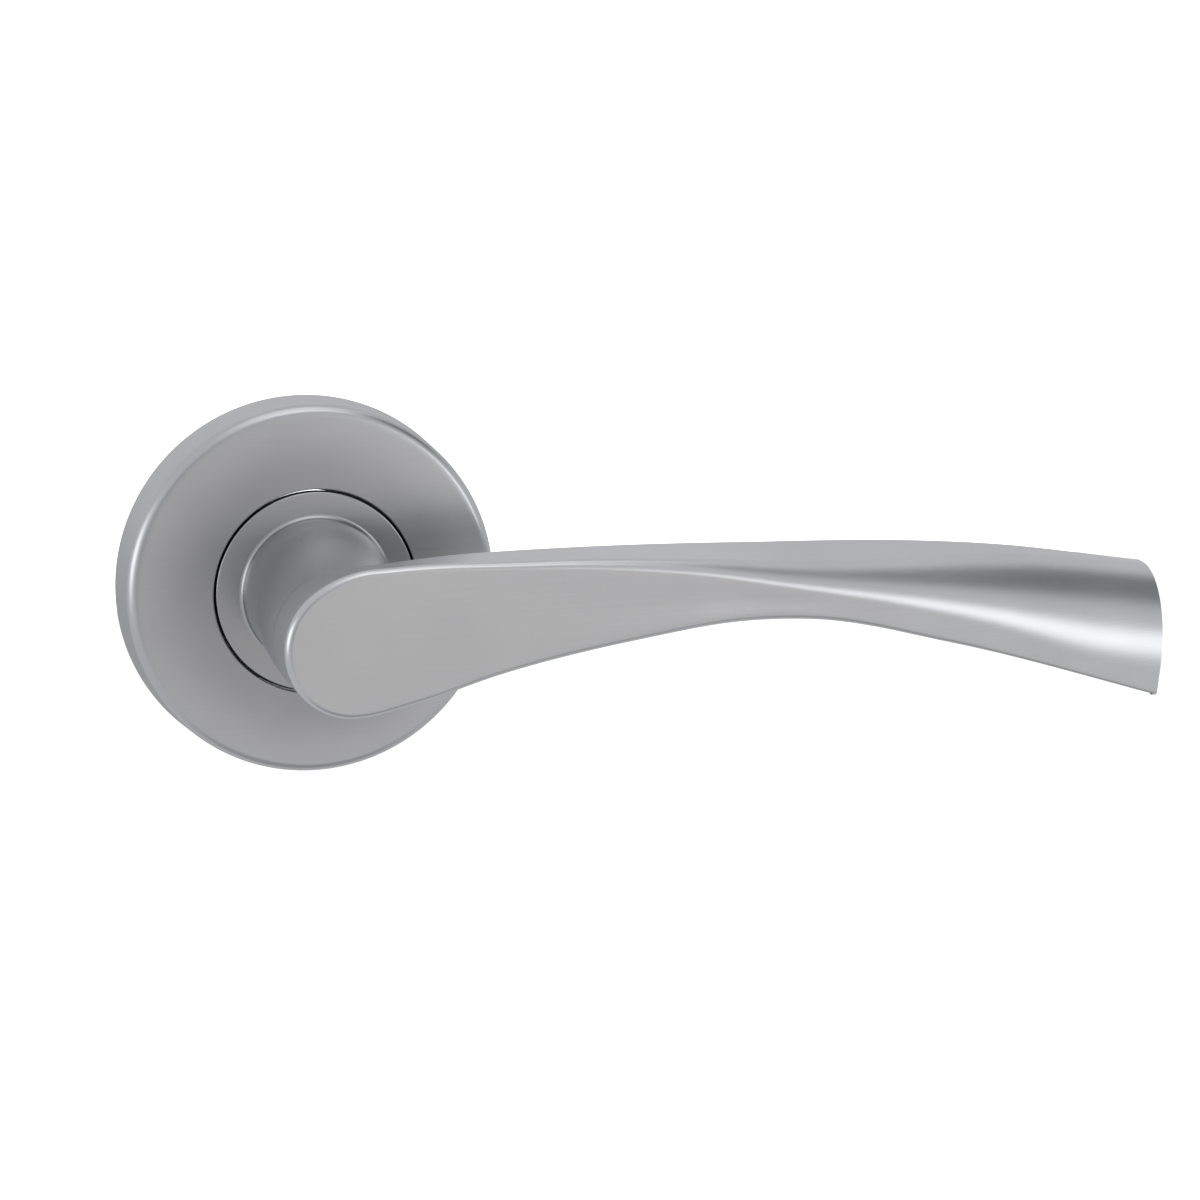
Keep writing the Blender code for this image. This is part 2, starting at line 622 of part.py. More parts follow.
def return_spring(mat, parent):
    """Torsion coil with one leg back into the base plate and one forward into the flange."""
    leg_back = point_on_y(SPRING_RADIUS, WEB_OUT, spring_angle(0.0))
    leg_front = point_on_y(SPRING_RADIUS, FLANGE_BACK_OUT + PIN_DEPTH_IN_FLANGE, spring_angle(1.0))
    points = [leg_back, point_on_y(SPRING_RADIUS, SPRING_BACK_OUT - SPRING_WIRE / 2, spring_angle(0.0))]
    for step in range(SPRING_STEPS + 1):
        share = step / SPRING_STEPS
        out = SPRING_BACK_OUT + (SPRING_FRONT_OUT - SPRING_BACK_OUT) * share
        angle = spring_angle(share) + SPRING_BEND * (2 * share - 1)
        points.append(point_on_y(SPRING_RADIUS, out, angle))
    points.append(point_on_y(SPRING_RADIUS, SPRING_FRONT_OUT + SPRING_WIRE / 2, spring_angle(1.0)))
    points.append(leg_front)
    curve = bpy.data.curves.new("return_spring", "CURVE")
    curve.dimensions = "3D"
    curve.bevel_depth = SPRING_WIRE / 2
    curve.bevel_resolution = 2
    curve.use_fill_caps = True
    spline = curve.splines.new("POLY")
    spline.points.add(len(points) - 1)
    for slot, point in zip(spline.points, points):
        slot.co = (*point, 1.0)
    spline.use_smooth = True
    curve.materials.append(mat)
    obj = bpy.data.objects.new("return_spring", curve)
    bpy.context.scene.collection.objects.link(obj)
    obj.parent = parent


def screw_places():
    return [math.pi / 4 + math.pi / 2 * quarter for quarter in range(4)]


def base_plate(mat, parent):
    """Inner rose: holds the bush, the spring's fixed leg and the fixings, and carries the cover."""
    groove_radius = PLATE_RADIUS - SNAP_RING_SIZE
    groove_low = SNAP_RING_OUT - SEAT_GAP
    groove_high = SNAP_RING_OUT + SNAP_RING_SIZE + SEAT_GAP
    rim_inner = PLATE_RADIUS - PLATE_RIM_WIDTH
    bush_hole = BUSH_RADIUS + SEAT_GAP
    profile = [
        (bush_hole, WEB_OUT),
        (POCKET_RADIUS, WEB_OUT),
        (POCKET_RADIUS, 0),
        (PLATE_RADIUS, 0),
        (PLATE_RADIUS, groove_low),
        (groove_radius, groove_low),
        (groove_radius, groove_high),
        (PLATE_RADIUS, groove_high),
        (PLATE_RADIUS, PLATE_RIM_HEIGHT),
        (rim_inner, PLATE_RIM_HEIGHT),
        (rim_inner, PLATE_THICKNESS),
        (POCKET_RADIUS + POCKET_WALL, PLATE_THICKNESS),
        (POCKET_RADIUS + POCKET_WALL, POCKET_HEIGHT),
        (POCKET_RADIUS, POCKET_HEIGHT),
        (POCKET_RADIUS, WEB_FRONT_OUT),
        (bush_hole, WEB_FRONT_OUT),
    ]
    plate = add_object("base_plate", turned(profile, LARGE_ROUND, PLATE_FACET_START), mat, parent)
    web_low = WEB_OUT - CUT_PAST
    web_high = WEB_FRONT_OUT + CUT_PAST
    margin = SEAT_GAP / PIN_CIRCLE
    for number, angle in enumerate(PIN_ANGLES):
        ends = (angle - LEVER_TRAVEL - margin, angle + margin)
        slot = arc_slot(PIN_CIRCLE, PIN_RADIUS + SEAT_GAP, web_low, web_high, *ends)
        combine(plate, add_cutter(f"stop_slot_{number}", slot), "DIFFERENCE")
    spring_place = point_on_y(SPRING_RADIUS, 0, spring_angle(0.0))
    spring_hole = cylinder_y(SPRING_HOLE_RADIUS, web_low, web_high, TINY_ROUND)
    combine(plate, add_cutter("spring_hole", moved(spring_hole, spring_place)), "DIFFERENCE")
    for side in (-1, 1):
        hole = cylinder_y(POST_NECK_RADIUS + SEAT_GAP, -CUT_PAST, PLATE_THICKNESS + CUT_PAST, SMALL_ROUND)
        place = (0, 0, side * FIXING_CIRCLE)
        combine(plate, add_cutter(f"post_hole_{side + 1}", moved(hole, place)), "DIFFERENCE")
    for number, angle in enumerate(screw_places()):
        hole = turned_solid(screw_hole_profile(), SMALL_ROUND)
        moved(hole, point_on_y(FIXING_CIRCLE, 0, angle))
        combine(plate, add_cutter(f"screw_hole_{number}", hole), "DIFFERENCE")


def screw_hole_profile():
    """Countersunk hole that follows the wood screw's head and shank with a gap all round."""
    shank = SCREW_SHANK_RADIUS + SEAT_GAP
    head = SCREW_HEAD_RADIUS + SEAT_GAP
    cone_low = PLATE_THICKNESS - SCREW_HEAD_HEIGHT - SEAT_GAP
    cone_high = PLATE_THICKNESS - SCREW_HEAD_LAND
    return [(shank, -CUT_PAST), (shank, cone_low), (head, cone_high), (head, PLATE_THICKNESS + CUT_PAST)]


def mounting_posts(mat, parent):
    """Threaded posts riveted into the plate, for the bolts from the door's far side."""
    profile = [
        (POST_NECK_RADIUS, PLATE_THICKNESS),
        (POST_NECK_RADIUS, -SEAT_GAP),
        (POST_RADIUS, -SEAT_GAP),
        (POST_RADIUS, EDGE_CHAMFER - POST_LENGTH),
        (POST_RADIUS - EDGE_CHAMFER, -POST_LENGTH),
        (POST_BORE_RADIUS, -POST_LENGTH),
        (POST_BORE_RADIUS, POST_BORE_DEPTH - POST_LENGTH),
    ]
    for name, side in (("mounting_post_upper", 1), ("mounting_post_lower", -1)):
        bm = turned_solid(profile, SMALL_ROUND)
        add_object(name, bm, mat, parent, (0, 0, side * FIXING_CIRCLE))


def wood_screws(mat, parent):
    head_out = PLATE_THICKNESS
    tip_out = head_out - SCREW_LENGTH
    profile = [
        (SCREW_POINT_RADIUS, tip_out),
        (SCREW_SHANK_RADIUS, tip_out + SCREW_TIP_LENGTH),
        (SCREW_SHANK_RADIUS, head_out - SCREW_HEAD_HEIGHT),
        (SCREW_HEAD_RADIUS, head_out - SCREW_HEAD_LAND),
        (SCREW_HEAD_RADIUS, head_out),
    ]
    names = ("upper_right", "upper_left", "lower_left", "lower_right")
    for name, angle in zip(names, screw_places()):
        place = point_on_y(FIXING_CIRCLE, 0, angle)
        screw = add_object(f"wood_screw_{name}", turned_solid(profile, SMALL_ROUND), mat, parent, place)
        depth = 2 * SCREW_SLOT_DEPTH
        wide = box((SCREW_SLOT_LENGTH, depth, SCREW_SLOT_WIDTH), place + Vector((0, -head_out, 0)))
        tall = box((SCREW_SLOT_WIDTH, depth, SCREW_SLOT_LENGTH), place + Vector((0, -head_out, 0)))
        combine(screw, add_cutter(f"slot_wide_{name}", wide), "DIFFERENCE")
        combine(screw, add_cutter(f"slot_tall_{name}", tall), "DIFFERENCE")


def cover_snap_ring(mat, parent):
    """Split wire ring in the plate's groove that grips the cover from inside."""
    inner = PLATE_RADIUS - SNAP_RING_SIZE + SEAT_GAP
    outer = inner + SNAP_RING_SIZE
    low, high = SNAP_RING_OUT, SNAP_RING_OUT + SNAP_RING_SIZE
    profile = [(inner, low), (outer, low), (outer, high), (inner, high)]
    start = -math.pi / 2 + SNAP_RING_OPENING / 2
    bm = turned(profile, LARGE_ROUND, start, 2 * math.pi - SNAP_RING_OPENING)
    add_object("cover_snap_ring", bm, mat, parent)


def rose_cover(mat, parent):
    """Drawn sheet cup that hides the base plate and lies around the lever's flange."""
    face_radius = ROSE_RADIUS - ROSE_DRAFT
    rim_out = ROSE_HEIGHT - ROSE_DOME
    hole = FLANGE_RADIUS + ROSE_HOLE_GAP
    edge_centre = (face_radius - ROSE_EDGE_RADIUS, rim_out - ROSE_EDGE_RADIUS)
    inner_edge = edge_centre[0] + ROSE_EDGE_RADIUS - ROSE_SHEET
    profile = [(ROSE_RADIUS - ROSE_SHEET, 0), (ROSE_RADIUS, 0)]
    profile += arc(edge_centre, ROSE_EDGE_RADIUS, 0, math.pi / 2, ARC_STEPS)
    profile += [
        (hole + FLANGE_CHAMFER, ROSE_HEIGHT),
        (hole, ROSE_HEIGHT - FLANGE_CHAMFER),
        (hole, ROSE_HEIGHT - ROSE_SHEET),
        (inner_edge, rim_out - ROSE_SHEET),
    ]
    add_object("rose_cover", turned(profile, LARGE_ROUND), mat, parent)


def build():
    clear_scene()
    satin_steel = material("satin_steel", (0.60, 0.60, 0.62), 0.34, 1.0)
    bright_steel = material("bright_steel", (0.66, 0.66, 0.68), 0.25, 1.0)
    zinc_plated = material("zinc_plated", (0.62, 0.64, 0.66), 0.38, 1.0)
    cast_zinc = material("cast_zinc", (0.48, 0.49, 0.51), 0.55, 1.0)
    spring_steel = material("spring_steel", (0.30, 0.31, 0.33), 0.35, 1.0)
    black_steel = material("black_steel", (0.05, 0.05, 0.055), 0.45, 1.0)
    nylon = material("nylon", (0.85, 0.84, 0.80), 0.5, 0.0)

    lever_axis = add_empty("lever_axis")
    base_frame = add_empty("base_frame")
    cover_frame = add_empty("cover_frame")

    lever_handle(satin_steel, lever_axis)
    spindle(zinc_plated, lever_axis)
    grub_screw(black_steel, lever_axis)
    stop_pins(bright_steel, lever_axis)
    circlip(spring_steel, lever_axis)
    thrust_washer(bright_steel, lever_axis)

    base_plate(cast_zinc, base_frame)
    bearing_bush(nylon, base_frame)
    return_spring(spring_steel, base_frame)
    mounting_posts(zinc_plated, base_frame)
    wood_screws(zinc_plated, base_frame)
    cover_snap_ring(spring_steel, base_frame)

    rose_cover(satin_steel, cover_frame)


build()
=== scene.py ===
"""Looks of a lever door handle on a round rose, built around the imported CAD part.

All sizes are in metres. The door is at +Y, the user at -Y, the lever points along
+X and +Z is up. Depths from the door's face towards the user are called out, so out = -y.
"""

import math

import bmesh
import bpy
import numpy as np
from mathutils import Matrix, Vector

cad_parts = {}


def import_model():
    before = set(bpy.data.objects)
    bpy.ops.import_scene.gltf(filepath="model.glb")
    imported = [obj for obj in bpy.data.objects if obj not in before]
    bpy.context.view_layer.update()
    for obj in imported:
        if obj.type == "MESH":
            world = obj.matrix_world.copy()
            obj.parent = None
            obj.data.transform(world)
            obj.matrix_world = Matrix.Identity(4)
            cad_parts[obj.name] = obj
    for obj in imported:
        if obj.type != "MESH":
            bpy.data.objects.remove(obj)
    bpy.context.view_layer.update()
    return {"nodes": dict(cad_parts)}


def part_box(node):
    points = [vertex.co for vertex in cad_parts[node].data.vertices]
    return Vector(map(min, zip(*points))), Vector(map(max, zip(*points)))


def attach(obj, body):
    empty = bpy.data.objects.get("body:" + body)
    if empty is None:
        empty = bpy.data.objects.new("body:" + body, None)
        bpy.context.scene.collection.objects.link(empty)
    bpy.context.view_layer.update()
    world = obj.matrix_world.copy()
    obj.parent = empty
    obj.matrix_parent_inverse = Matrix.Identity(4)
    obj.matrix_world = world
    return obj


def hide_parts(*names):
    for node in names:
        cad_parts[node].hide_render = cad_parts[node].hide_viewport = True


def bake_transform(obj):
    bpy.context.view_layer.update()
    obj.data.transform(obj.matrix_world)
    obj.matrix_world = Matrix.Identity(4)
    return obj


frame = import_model()

MM = 0.001
FINE_ROUND = 192
SMALL_ROUND = 48
SHARP_EDGE = math.radians(32)

# Sizes read from the CAD nodes
ROSE_LOW, ROSE_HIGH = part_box("rose_cover")
LEVER_LOW, LEVER_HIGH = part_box("lever_handle")
BUSH_LOW, BUSH_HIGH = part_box("bearing_bush")
SPINDLE_LOW, SPINDLE_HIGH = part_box("spindle")
CIRCLIP_LOW, CIRCLIP_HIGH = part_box("circlip")
SPRING_LOW, SPRING_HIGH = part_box("return_spring")

ROSE_RADIUS = ROSE_HIGH.x
ROSE_OUT = -ROSE_LOW.y
FRONT_OUT = -LEVER_LOW.y
JOURNAL_END_OUT = -LEVER_HIGH.y
SPINDLE_WIDTH = SPINDLE_HIGH.x - SPINDLE_LOW.x
SPINDLE_TOP_OUT = -SPINDLE_LOW.y

# Rose cover
ROSE_DOME = 0.5 * MM
ROSE_DRAFT = 0.6 * MM
ROSE_EDGE_RADIUS = 1.5 * MM
ROSE_SHEET = 1.2 * MM
ROSE_HOLE_RADIUS = 14.3 * MM
HOLE_EDGE = 0.2 * MM
ROSE_FOOT = 0.25 * MM
ROSE_FOOT_STEP = 0.02 * MM
ROSE_INNER_BEVEL = 0.8 * MM
ROSE_EDGE_STEPS = 14
ROSE_DOME_STEPS = 24

# Lever: flange, journal and neck
SEAT_GAP = 0.3 * MM
FLANGE_RADIUS = 14.0 * MM
FLANGE_THICKNESS = 1.8 * MM
FLANGE_CHAMFER = 0.25 * MM
JOURNAL_RADIUS = 8.0 * MM
JOURNAL_CHAMFER = 0.3 * MM
GROOVE_RADIUS = 7.2 * MM
GROOVE_OUTS = (0.7 * MM, 2.0 * MM)
NECK_RADIUS = 10.3 * MM
NECK_FILLET = 0.6 * MM
NECK_TOP_RADIUS = 8.84 * MM
NECK_END_OUT = 38.0 * MM
NECK_LEAN = (-2.55 * MM, -0.88 * MM)
NECK_FLARE = 3.4 * MM  # fillet between the neck and the back of the blade
NECK_FLARE_ANGLE = math.radians(66)
NECK_ROWS = 40

# Lever: head and blade
HEAD_RADIUS = 8.9 * MM
HEAD_CENTRE = (-2.6 * MM, -0.9 * MM)
HEAD_SHOULDER = 0.8 * MM  # how far the head's top edge rises above its round
SHOULDER_ANGLE = math.radians(36)  # where it leaves the round, from the top
SHOULDER_SLOPE = 2 * HEAD_SHOULDER / (SHOULDER_ANGLE * HEAD_RADIUS)
HEAD_EDGE_RADIUS = 0.9 * MM
BACK_EDGE_RADIUS = 1.4 * MM
BLADE_LENGTH = 116.1 * MM
BLADE_END_SLANT = math.radians(6.5)
BLADE_SLANT_START = 0.7
BLADE_END_ROUNDING = 0.9 * MM
BLADE_CORNER_ROUNDING = 1.4 * MM
FACE_HOLLOW = 0.10 * MM
HOLLOW_PLACE = 0.38  # as a share of the blade's length
HOLLOW_WIDTH = 0.12
BLADE_STATIONS = 220
HEAD_STEPS = 72
# Points round the crease, round an edge and across each side of a section
CREASE_STEPS = 28
EDGE_STEPS = 8
FACE_POINTS = 6
SIDE_POINTS = 8
BACK_POINTS = 3
END_STEPS = 10
END_FACE_SHARES = (0.85, 0.65, 0.4, 0.15)  # sizes of the rings that close the blade's end

# Fixings and the pieces inside the rose
GRUB_OUT = 17.0 * MM
GRUB_HOLE_RADIUS = 2.8 * MM
GRUB_HOLE_ENDS = (4.0 * MM, 14.0 * MM)  # from inside the socket to past the neck's surface
GRUB_HEX_WIDTH = 2.5 * MM
GRUB_HEX_DEPTH = 2.2 * MM
GRUB_PITCH = 0.8 * MM
GRUB_THREAD_DEPTH = 0.3 * MM
GRUB_THREAD_INSETS = (0.5 * MM, 0.3 * MM)  # from its tip and from its end
GRUB_CUP = ((0.3, 0.5 * MM), (0.62, 0), (0.75, 0.1 * MM))  # (share of its radius, from its tip)
GRUB_END_CHAMFER = 0.4 * MM
GRUB_HEX_LEAD = 0.12 * MM
GRUB_HEX_LEAD_SCALE = 1.08
GRUB_DRILL_RADIUS = 0.2 * MM
GRUB_DRILL_DEPTH = 0.4 * MM
SCREW_PITCH = 1.4 * MM
SCREW_THREAD_DEPTH = 0.36 * MM
SCREW_HEAD_HEIGHT = 1.7 * MM
SCREW_HEAD_LAND = 0.2 * MM
SCREW_SHANK_RADIUS = 1.5 * MM
SCREW_TIP_LENGTH = 4.0 * MM
SCREW_PLAIN_LENGTH = 1.6 * MM
SCREW_POINT_RADIUS = 0.1 * MM
SCREW_WAIST_RADIUS = SCREW_SHANK_RADIUS * 0.86
SCREW_WAIST_INSETS = (0.15 * MM, 0.2 * MM)  # from the thread and from the head
SCREW_EDGE = 0.08 * MM
CROSS_REACH = 1.6 * MM
CROSS_HALF_WIDTH = 0.42 * MM
CROSS_DEPTH = 1.15 * MM
CROSS_TAPER = ((0.0, 1.0), (0.5, 0.8), (1.0, 0.42))  # (share of its depth, share of its width)
POST_NECK_RADIUS = 2.5 * MM
POST_BORE_RADIUS = 1.65 * MM
POST_BORE_DEPTH = 9.0 * MM
POST_PITCH = 0.7 * MM
POST_THREAD_DEPTH = 0.2 * MM
POST_CHAMFER = 0.4 * MM
POST_DIMPLE = 0.12 * MM
POST_NECK_EDGE = 0.2 * MM
POST_SHOULDER_EDGE = 0.15 * MM
POST_GROOVE_DEPTH = 0.25 * MM
POST_GROOVE_OUTS = (-2.4 * MM, -2.6 * MM, -3.2 * MM, -3.4 * MM)
POST_BORE_CHAMFER = 0.35 * MM
POST_THREAD_INSETS = (0.4 * MM, 1.2 * MM)  # from the bore's mouth and from its bottom
POST_DRILL_DEPTH = 0.8 * MM
POST_DRILL_RADIUS = 0.1 * MM
SPINDLE_EDGE = 0.35 * MM
SPINDLE_CHAMFER = ((0.5 * MM, 0.0), (0.06 * MM, 0.44 * MM), (0.0, 0.55 * MM))  # (inset, from the end)
SPRING_WIRE = 1.1 * MM
SPRING_RADIUS = 10.9 * MM
SPRING_TURNS = 1.5
SPRING_BACK_ANGLE = math.radians(180)
SPRING_BEND = math.radians(6)
COIL_BACK_OUT = 4.55 * MM
COIL_FRONT_OUT = 6.35 * MM
COIL_STEPS = 180
LEG_STRAIGHT_SHARE = 0.55
WIRE_SEGMENTS = 16
WIRE_END_SHARE = 0.7
WIRE_END_INSET = 0.3
BUSH_GAP = 0.2 * MM
BUSH_WALL = 1.0 * MM
BUSH_FLANGE_PLACE = 1.3 * MM  # from its back end
BUSH_FLANGE_THICKNESS = 0.5 * MM
BUSH_EDGE = 0.12 * MM
CIRCLIP_EYE_RADIUS = 0.7 * MM
CIRCLIP_LUG_RADIUS = 1.45 * MM
CIRCLIP_OPENING = math.radians(44)
CIRCLIP_NARROW = 1.75 * MM
CIRCLIP_WIDE = 2.8 * MM
CIRCLIP_BAND_STOP = 1.6  # how far the band stops short of a lug's middle, in lug radii
CIRCLIP_EDGE = 0.08 * MM
SNAP_RING_OPENING = math.radians(30)
RING_WIDTHS = {"thrust_washer": 3.7 * MM, "cover_snap_ring": 1.0 * MM}
RING_EDGES = {"thrust_washer": 0.08 * MM, "cover_snap_ring": 0.3 * MM}
THREAD_ROWS = 8  # for each turn of a thread
THREAD_FADE_ROWS = 5
PIN_BEVEL = 0.1 * MM
PLATE_BEVEL = 0.2 * MM
BEVEL_ANGLE = math.radians(40)
BUMP_DEPTH = 0.02 * MM
CASTING_BUMP_DEPTH = 0.05 * MM

# Each curve gives one size of the blade as points (share of its length, millimetres).
CREASE_HEIGHT = (
    (0.045, 9.25), (0.09, 9.35), (0.16, 9.1), (0.27, 8.7), (0.39, 7.7), (0.51, 6.0), (0.64, 4.6),
    (0.77, 3.7), (0.91, 2.2), (1, 1.1)
)
UNDERSIDE_HEIGHT = (
    (0.07, -8.4), (0.16, -5.6), (0.33, -2.2), (0.45, -0.8), (0.54, -1.3), (0.71, -5.9), (1, -16.1)
)
BACK_TOP_HEIGHT = ((0.14, 9.0), (0.28, 9.15), (0.49, 8.6), (0.68, 7.65), (0.81, 6.15), (1, 2.3))
BACK_UNDERSIDE_HEIGHT = ((0.07, -8.4), (0.16, -5.6), (0.45, -0.4), (0.54, -0.3), (0.71, -2.4), (1, -8.7))
CREASE_ROLL_DOWN = ((0, 0.9), (0.33, 1.6), (0.51, 2.9), (0.64, 4.7), (0.77, 7.9), (0.91, 12.0), (1, 13.2))
CREASE_ROLL_BACK = ((0, 0.9), (0.33, 1.3), (0.51, 2.6), (0.64, 4.0), (0.77, 6.2), (0.91, 7.8), (1, 8.3))
BLADE_DEPTH = ((0, 9.5), (0.28, 9.5), (0.63, 10.0), (1, 10.5))


# Camera and surroundings


def direction(azimuth, elevation):
    """A unit vector; azimuth 0 is towards the user and 90 towards the lever's tip, in degrees."""
    a, e = math.radians(azimuth), math.radians(elevation)
    return Vector((math.sin(a) * math.cos(e), -math.cos(a) * math.cos(e), math.sin(e)))


def camera():
    """A portrait lens close to the handle, a little to its left and above it."""
    distance = 0.350
    target = Vector((0.044473, 0.0, -0.005622))
    back = direction(-18.916, 11.082)
    data = bpy.data.cameras.new("camera")
    data.sensor_width = 36.0
    data.lens = 70.757
    data.clip_start = 0.01
    data.clip_end = 20.0
    obj = bpy.data.objects.new("camera", data)
    bpy.context.scene.collection.objects.link(obj)
    obj.location = target + back * distance
    obj.rotation_mode = "QUATERNION"
    obj.rotation_quaternion = (-back).to_track_quat("-Z", "Y")
    bpy.context.scene.camera = obj


# Node helpers


def new_material(name):
    """A material with its nodes, its links and its main shader."""
    mat = bpy.data.materials.new(name)
    mat.use_nodes = True
    nodes = mat.node_tree.nodes
    return mat, nodes, mat.node_tree.links, nodes["Principled BSDF"]


def noise(nodes, links, scale, detail, roughness):
    """Noise with this many cells a metre along each axis."""
    node = nodes.new("ShaderNodeTexNoise")
    node.inputs["Scale"].default_value = 1.0
    node.inputs["Detail"].default_value = detail
    node.inputs["Roughness"].default_value = roughness
    links.new(stretched(nodes, links, scale), node.inputs["Vector"])
    return node.outputs["Fac"]


def stretched(nodes, links, scale):
    """Object coordinates stretched by a scale on each axis."""
    coordinates = nodes.new("ShaderNodeTexCoord")
    mapping = nodes.new("ShaderNodeMapping")
    mapping.inputs["Scale"].default_value = scale
    links.new(coordinates.outputs["Object"], mapping.inputs["Vector"])
    return mapping.outputs["Vector"]


def ramp(nodes, links, value, low, high):
    """Maps a 0 to 1 value to the range low to high."""
    node = nodes.new("ShaderNodeMapRange")
    node.inputs["To Min"].default_value = low
    node.inputs["To Max"].default_value = high
    links.new(value, node.inputs["Value"])
    return node.outputs["Result"]


def colour_between(nodes, links, value, dark, light):
    """Mixes two colours by a 0 to 1 value."""
    node = nodes.new("ShaderNodeMix")
    node.data_type = "RGBA"
    node.inputs["A"].default_value = (*dark, 1.0)
    node.inputs["B"].default_value = (*light, 1.0)
    links.new(value, node.inputs["Factor"])
    return node.outputs["Result"]


def add_bump(nodes, links, shader, height, strength, distance=BUMP_DEPTH):
    """Small unevenness of a surface from a 0 to 1 height."""
    node = nodes.new("ShaderNodeBump")
    node.inputs["Strength"].default_value = strength
    node.inputs["Distance"].default_value = distance
    links.new(height, node.inputs["Height"])
    links.new(node.outputs["Normal"], shader.inputs["Normal"])


def coat(nodes, links, shader, value, colours, rough_value, rough):
    """Colour between two colours by one value, and roughness between two limits by another."""
    links.new(colour_between(nodes, links, value, *colours), shader.inputs["Base Color"])
    links.new(ramp(nodes, links, rough_value, *rough), shader.inputs["Roughness"])


def product(nodes, links, a, b):
    """Two values multiplied."""
    node = nodes.new("ShaderNodeMath")
    node.operation = "MULTIPLY"
    links.new(a, node.inputs[0])
    links.new(b, node.inputs[1])
    return node.outputs["Value"]


def average(nodes, links, a, b, share_b):
    """Two values mixed by the share of the second."""
    node = nodes.new("ShaderNodeMix")
    node.data_type = "FLOAT"
    node.inputs["Factor"].default_value = share_b
    links.new(a, node.inputs["A"])
    links.new(b, node.inputs["B"])
    return node.outputs["Result"]


def tone(nodes, links, place, start, end, low):
    """A factor that climbs from low to 1 between two distances."""
    node = nodes.new("ShaderNodeMapRange")
    node.interpolation_type = "SMOOTHSTEP"
    node.inputs["From Min"].default_value = start
    node.inputs["From Max"].default_value = end
    node.inputs["To Min"].default_value = low
    links.new(place, node.inputs["Value"])
    return node.outputs["Result"]


def painted_shade_by_radius(nodes, links):
    """Painted shade: the rose's colour is a little darker near its hole, standing in for the shade of the
    lever's neck there.
    """
    node = nodes.new("ShaderNodeVectorMath")
    node.operation = "LENGTH"
    links.new(stretched(nodes, links, (1, 0, 1)), node.inputs[0])
    return tone(nodes, links, node.outputs["Value"], 15 * MM, 25 * MM, 0.76)


def painted_shade_by_depth(nodes, links):
    """Painted shade: the lever's colour is a little darker at the foot of its neck, standing in for the
    shade where it rises from the flange next to the rose.
    """
    node = nodes.new("ShaderNodeSeparateXYZ")
    links.new(stretched(nodes, links, (1, -1, 1)), node.inputs[0])
    return tone(nodes, links, node.outputs["Y"], 9 * MM, 14 * MM, 0.72)


# Materials


def brushed_steel(name, grain, dark, light, rough, painted_shade):
    """Satin steel with fine straight grain; grain stretches the noise along the brushing, and a painted
    shade factor darkens its colour.
    """
    mat, nodes, links, shader = new_material(name)
    fine = noise(nodes, links, grain, 4.0, 0.6)
    coarse = noise(nodes, links, [g * 0.28 for g in grain], 2.0, 0.5)
    lines = average(nodes, links, fine, coarse, 0.35)
    cloud = noise(nodes, links, (70, 70, 70), 2.0, 0.45)
    tint = average(nodes, links, lines, cloud, 0.6)
    # Painted shade: the grain's colour is multiplied by the shade factor given for this piece.
    mix = nodes.new("ShaderNodeMix")
    mix.data_type = "RGBA"
    mix.blend_type = "MULTIPLY"
    mix.inputs["Factor"].default_value = 1.0
    links.new(colour_between(nodes, links, tint, dark, light), mix.inputs["A"])
    links.new(painted_shade(nodes, links), mix.inputs["B"])
    links.new(mix.outputs["Result"], shader.inputs["Base Color"])
    links.new(ramp(nodes, links, lines, rough[0], rough[1]), shader.inputs["Roughness"])
    shader.inputs["Metallic"].default_value = 1.0
    shader.inputs["Anisotropic"].default_value = 0.25
    add_bump(nodes, links, shader, lines, 0.25)
    return mat


def zinc_plating(name):
    """Bright zinc with faint bluish and yellowish clouds."""
    mat, nodes, links, shader = new_material(name)
    cloud = noise(nodes, links, (180, 180, 180), 4.0, 0.6)
    speck = noise(nodes, links, (2600, 2600, 2600), 2.0, 0.6)
    coat(nodes, links, shader, cloud, ((0.50, 0.52, 0.56), (0.68, 0.67, 0.62)), cloud, (0.26, 0.42))
    shader.inputs["Metallic"].default_value = 1.0
    add_bump(nodes, links, shader, speck, 0.25)
    return mat


def cast_zinc(name):
    """Grey die casting with a fine grained skin and slight flow marks."""
    mat, nodes, links, shader = new_material(name)
    skin = noise(nodes, links, (2200, 2200, 2200), 5.0, 0.65)
    flow = noise(nodes, links, (160, 500, 260), 4.0, 0.55)
    tint = average(nodes, links, skin, flow, 0.6)
    coat(nodes, links, shader, tint, ((0.30, 0.31, 0.33), (0.52, 0.53, 0.55)), flow, (0.42, 0.66))
    shader.inputs["Metallic"].default_value = 0.9
    add_bump(nodes, links, shader, skin, 0.35, CASTING_BUMP_DEPTH)
    return mat


def spring_steel(name):
    """Dark drawn wire with an oiled surface."""
    mat, nodes, links, shader = new_material(name)
    streak = noise(nodes, links, (900, 3200, 900), 3.0, 0.6)
    coat(nodes, links, shader, streak, ((0.13, 0.135, 0.15), (0.34, 0.34, 0.35)), streak, (0.24, 0.42))
    shader.inputs["Metallic"].default_value = 1.0
    add_bump(nodes, links, shader, streak, 0.2)
    return mat


def black_oxide(name):
    """Almost black, fine grained and half matt."""
    mat, nodes, links, shader = new_material(name)
    grain = noise(nodes, links, (1800, 1800, 1800), 4.0, 0.6)
    colours = ((0.018, 0.018, 0.021), (0.065, 0.063, 0.066))
    coat(nodes, links, shader, grain, colours, grain, (0.34, 0.55))
    shader.inputs["Metallic"].default_value = 0.8
    add_bump(nodes, links, shader, grain, 0.25)
    return mat


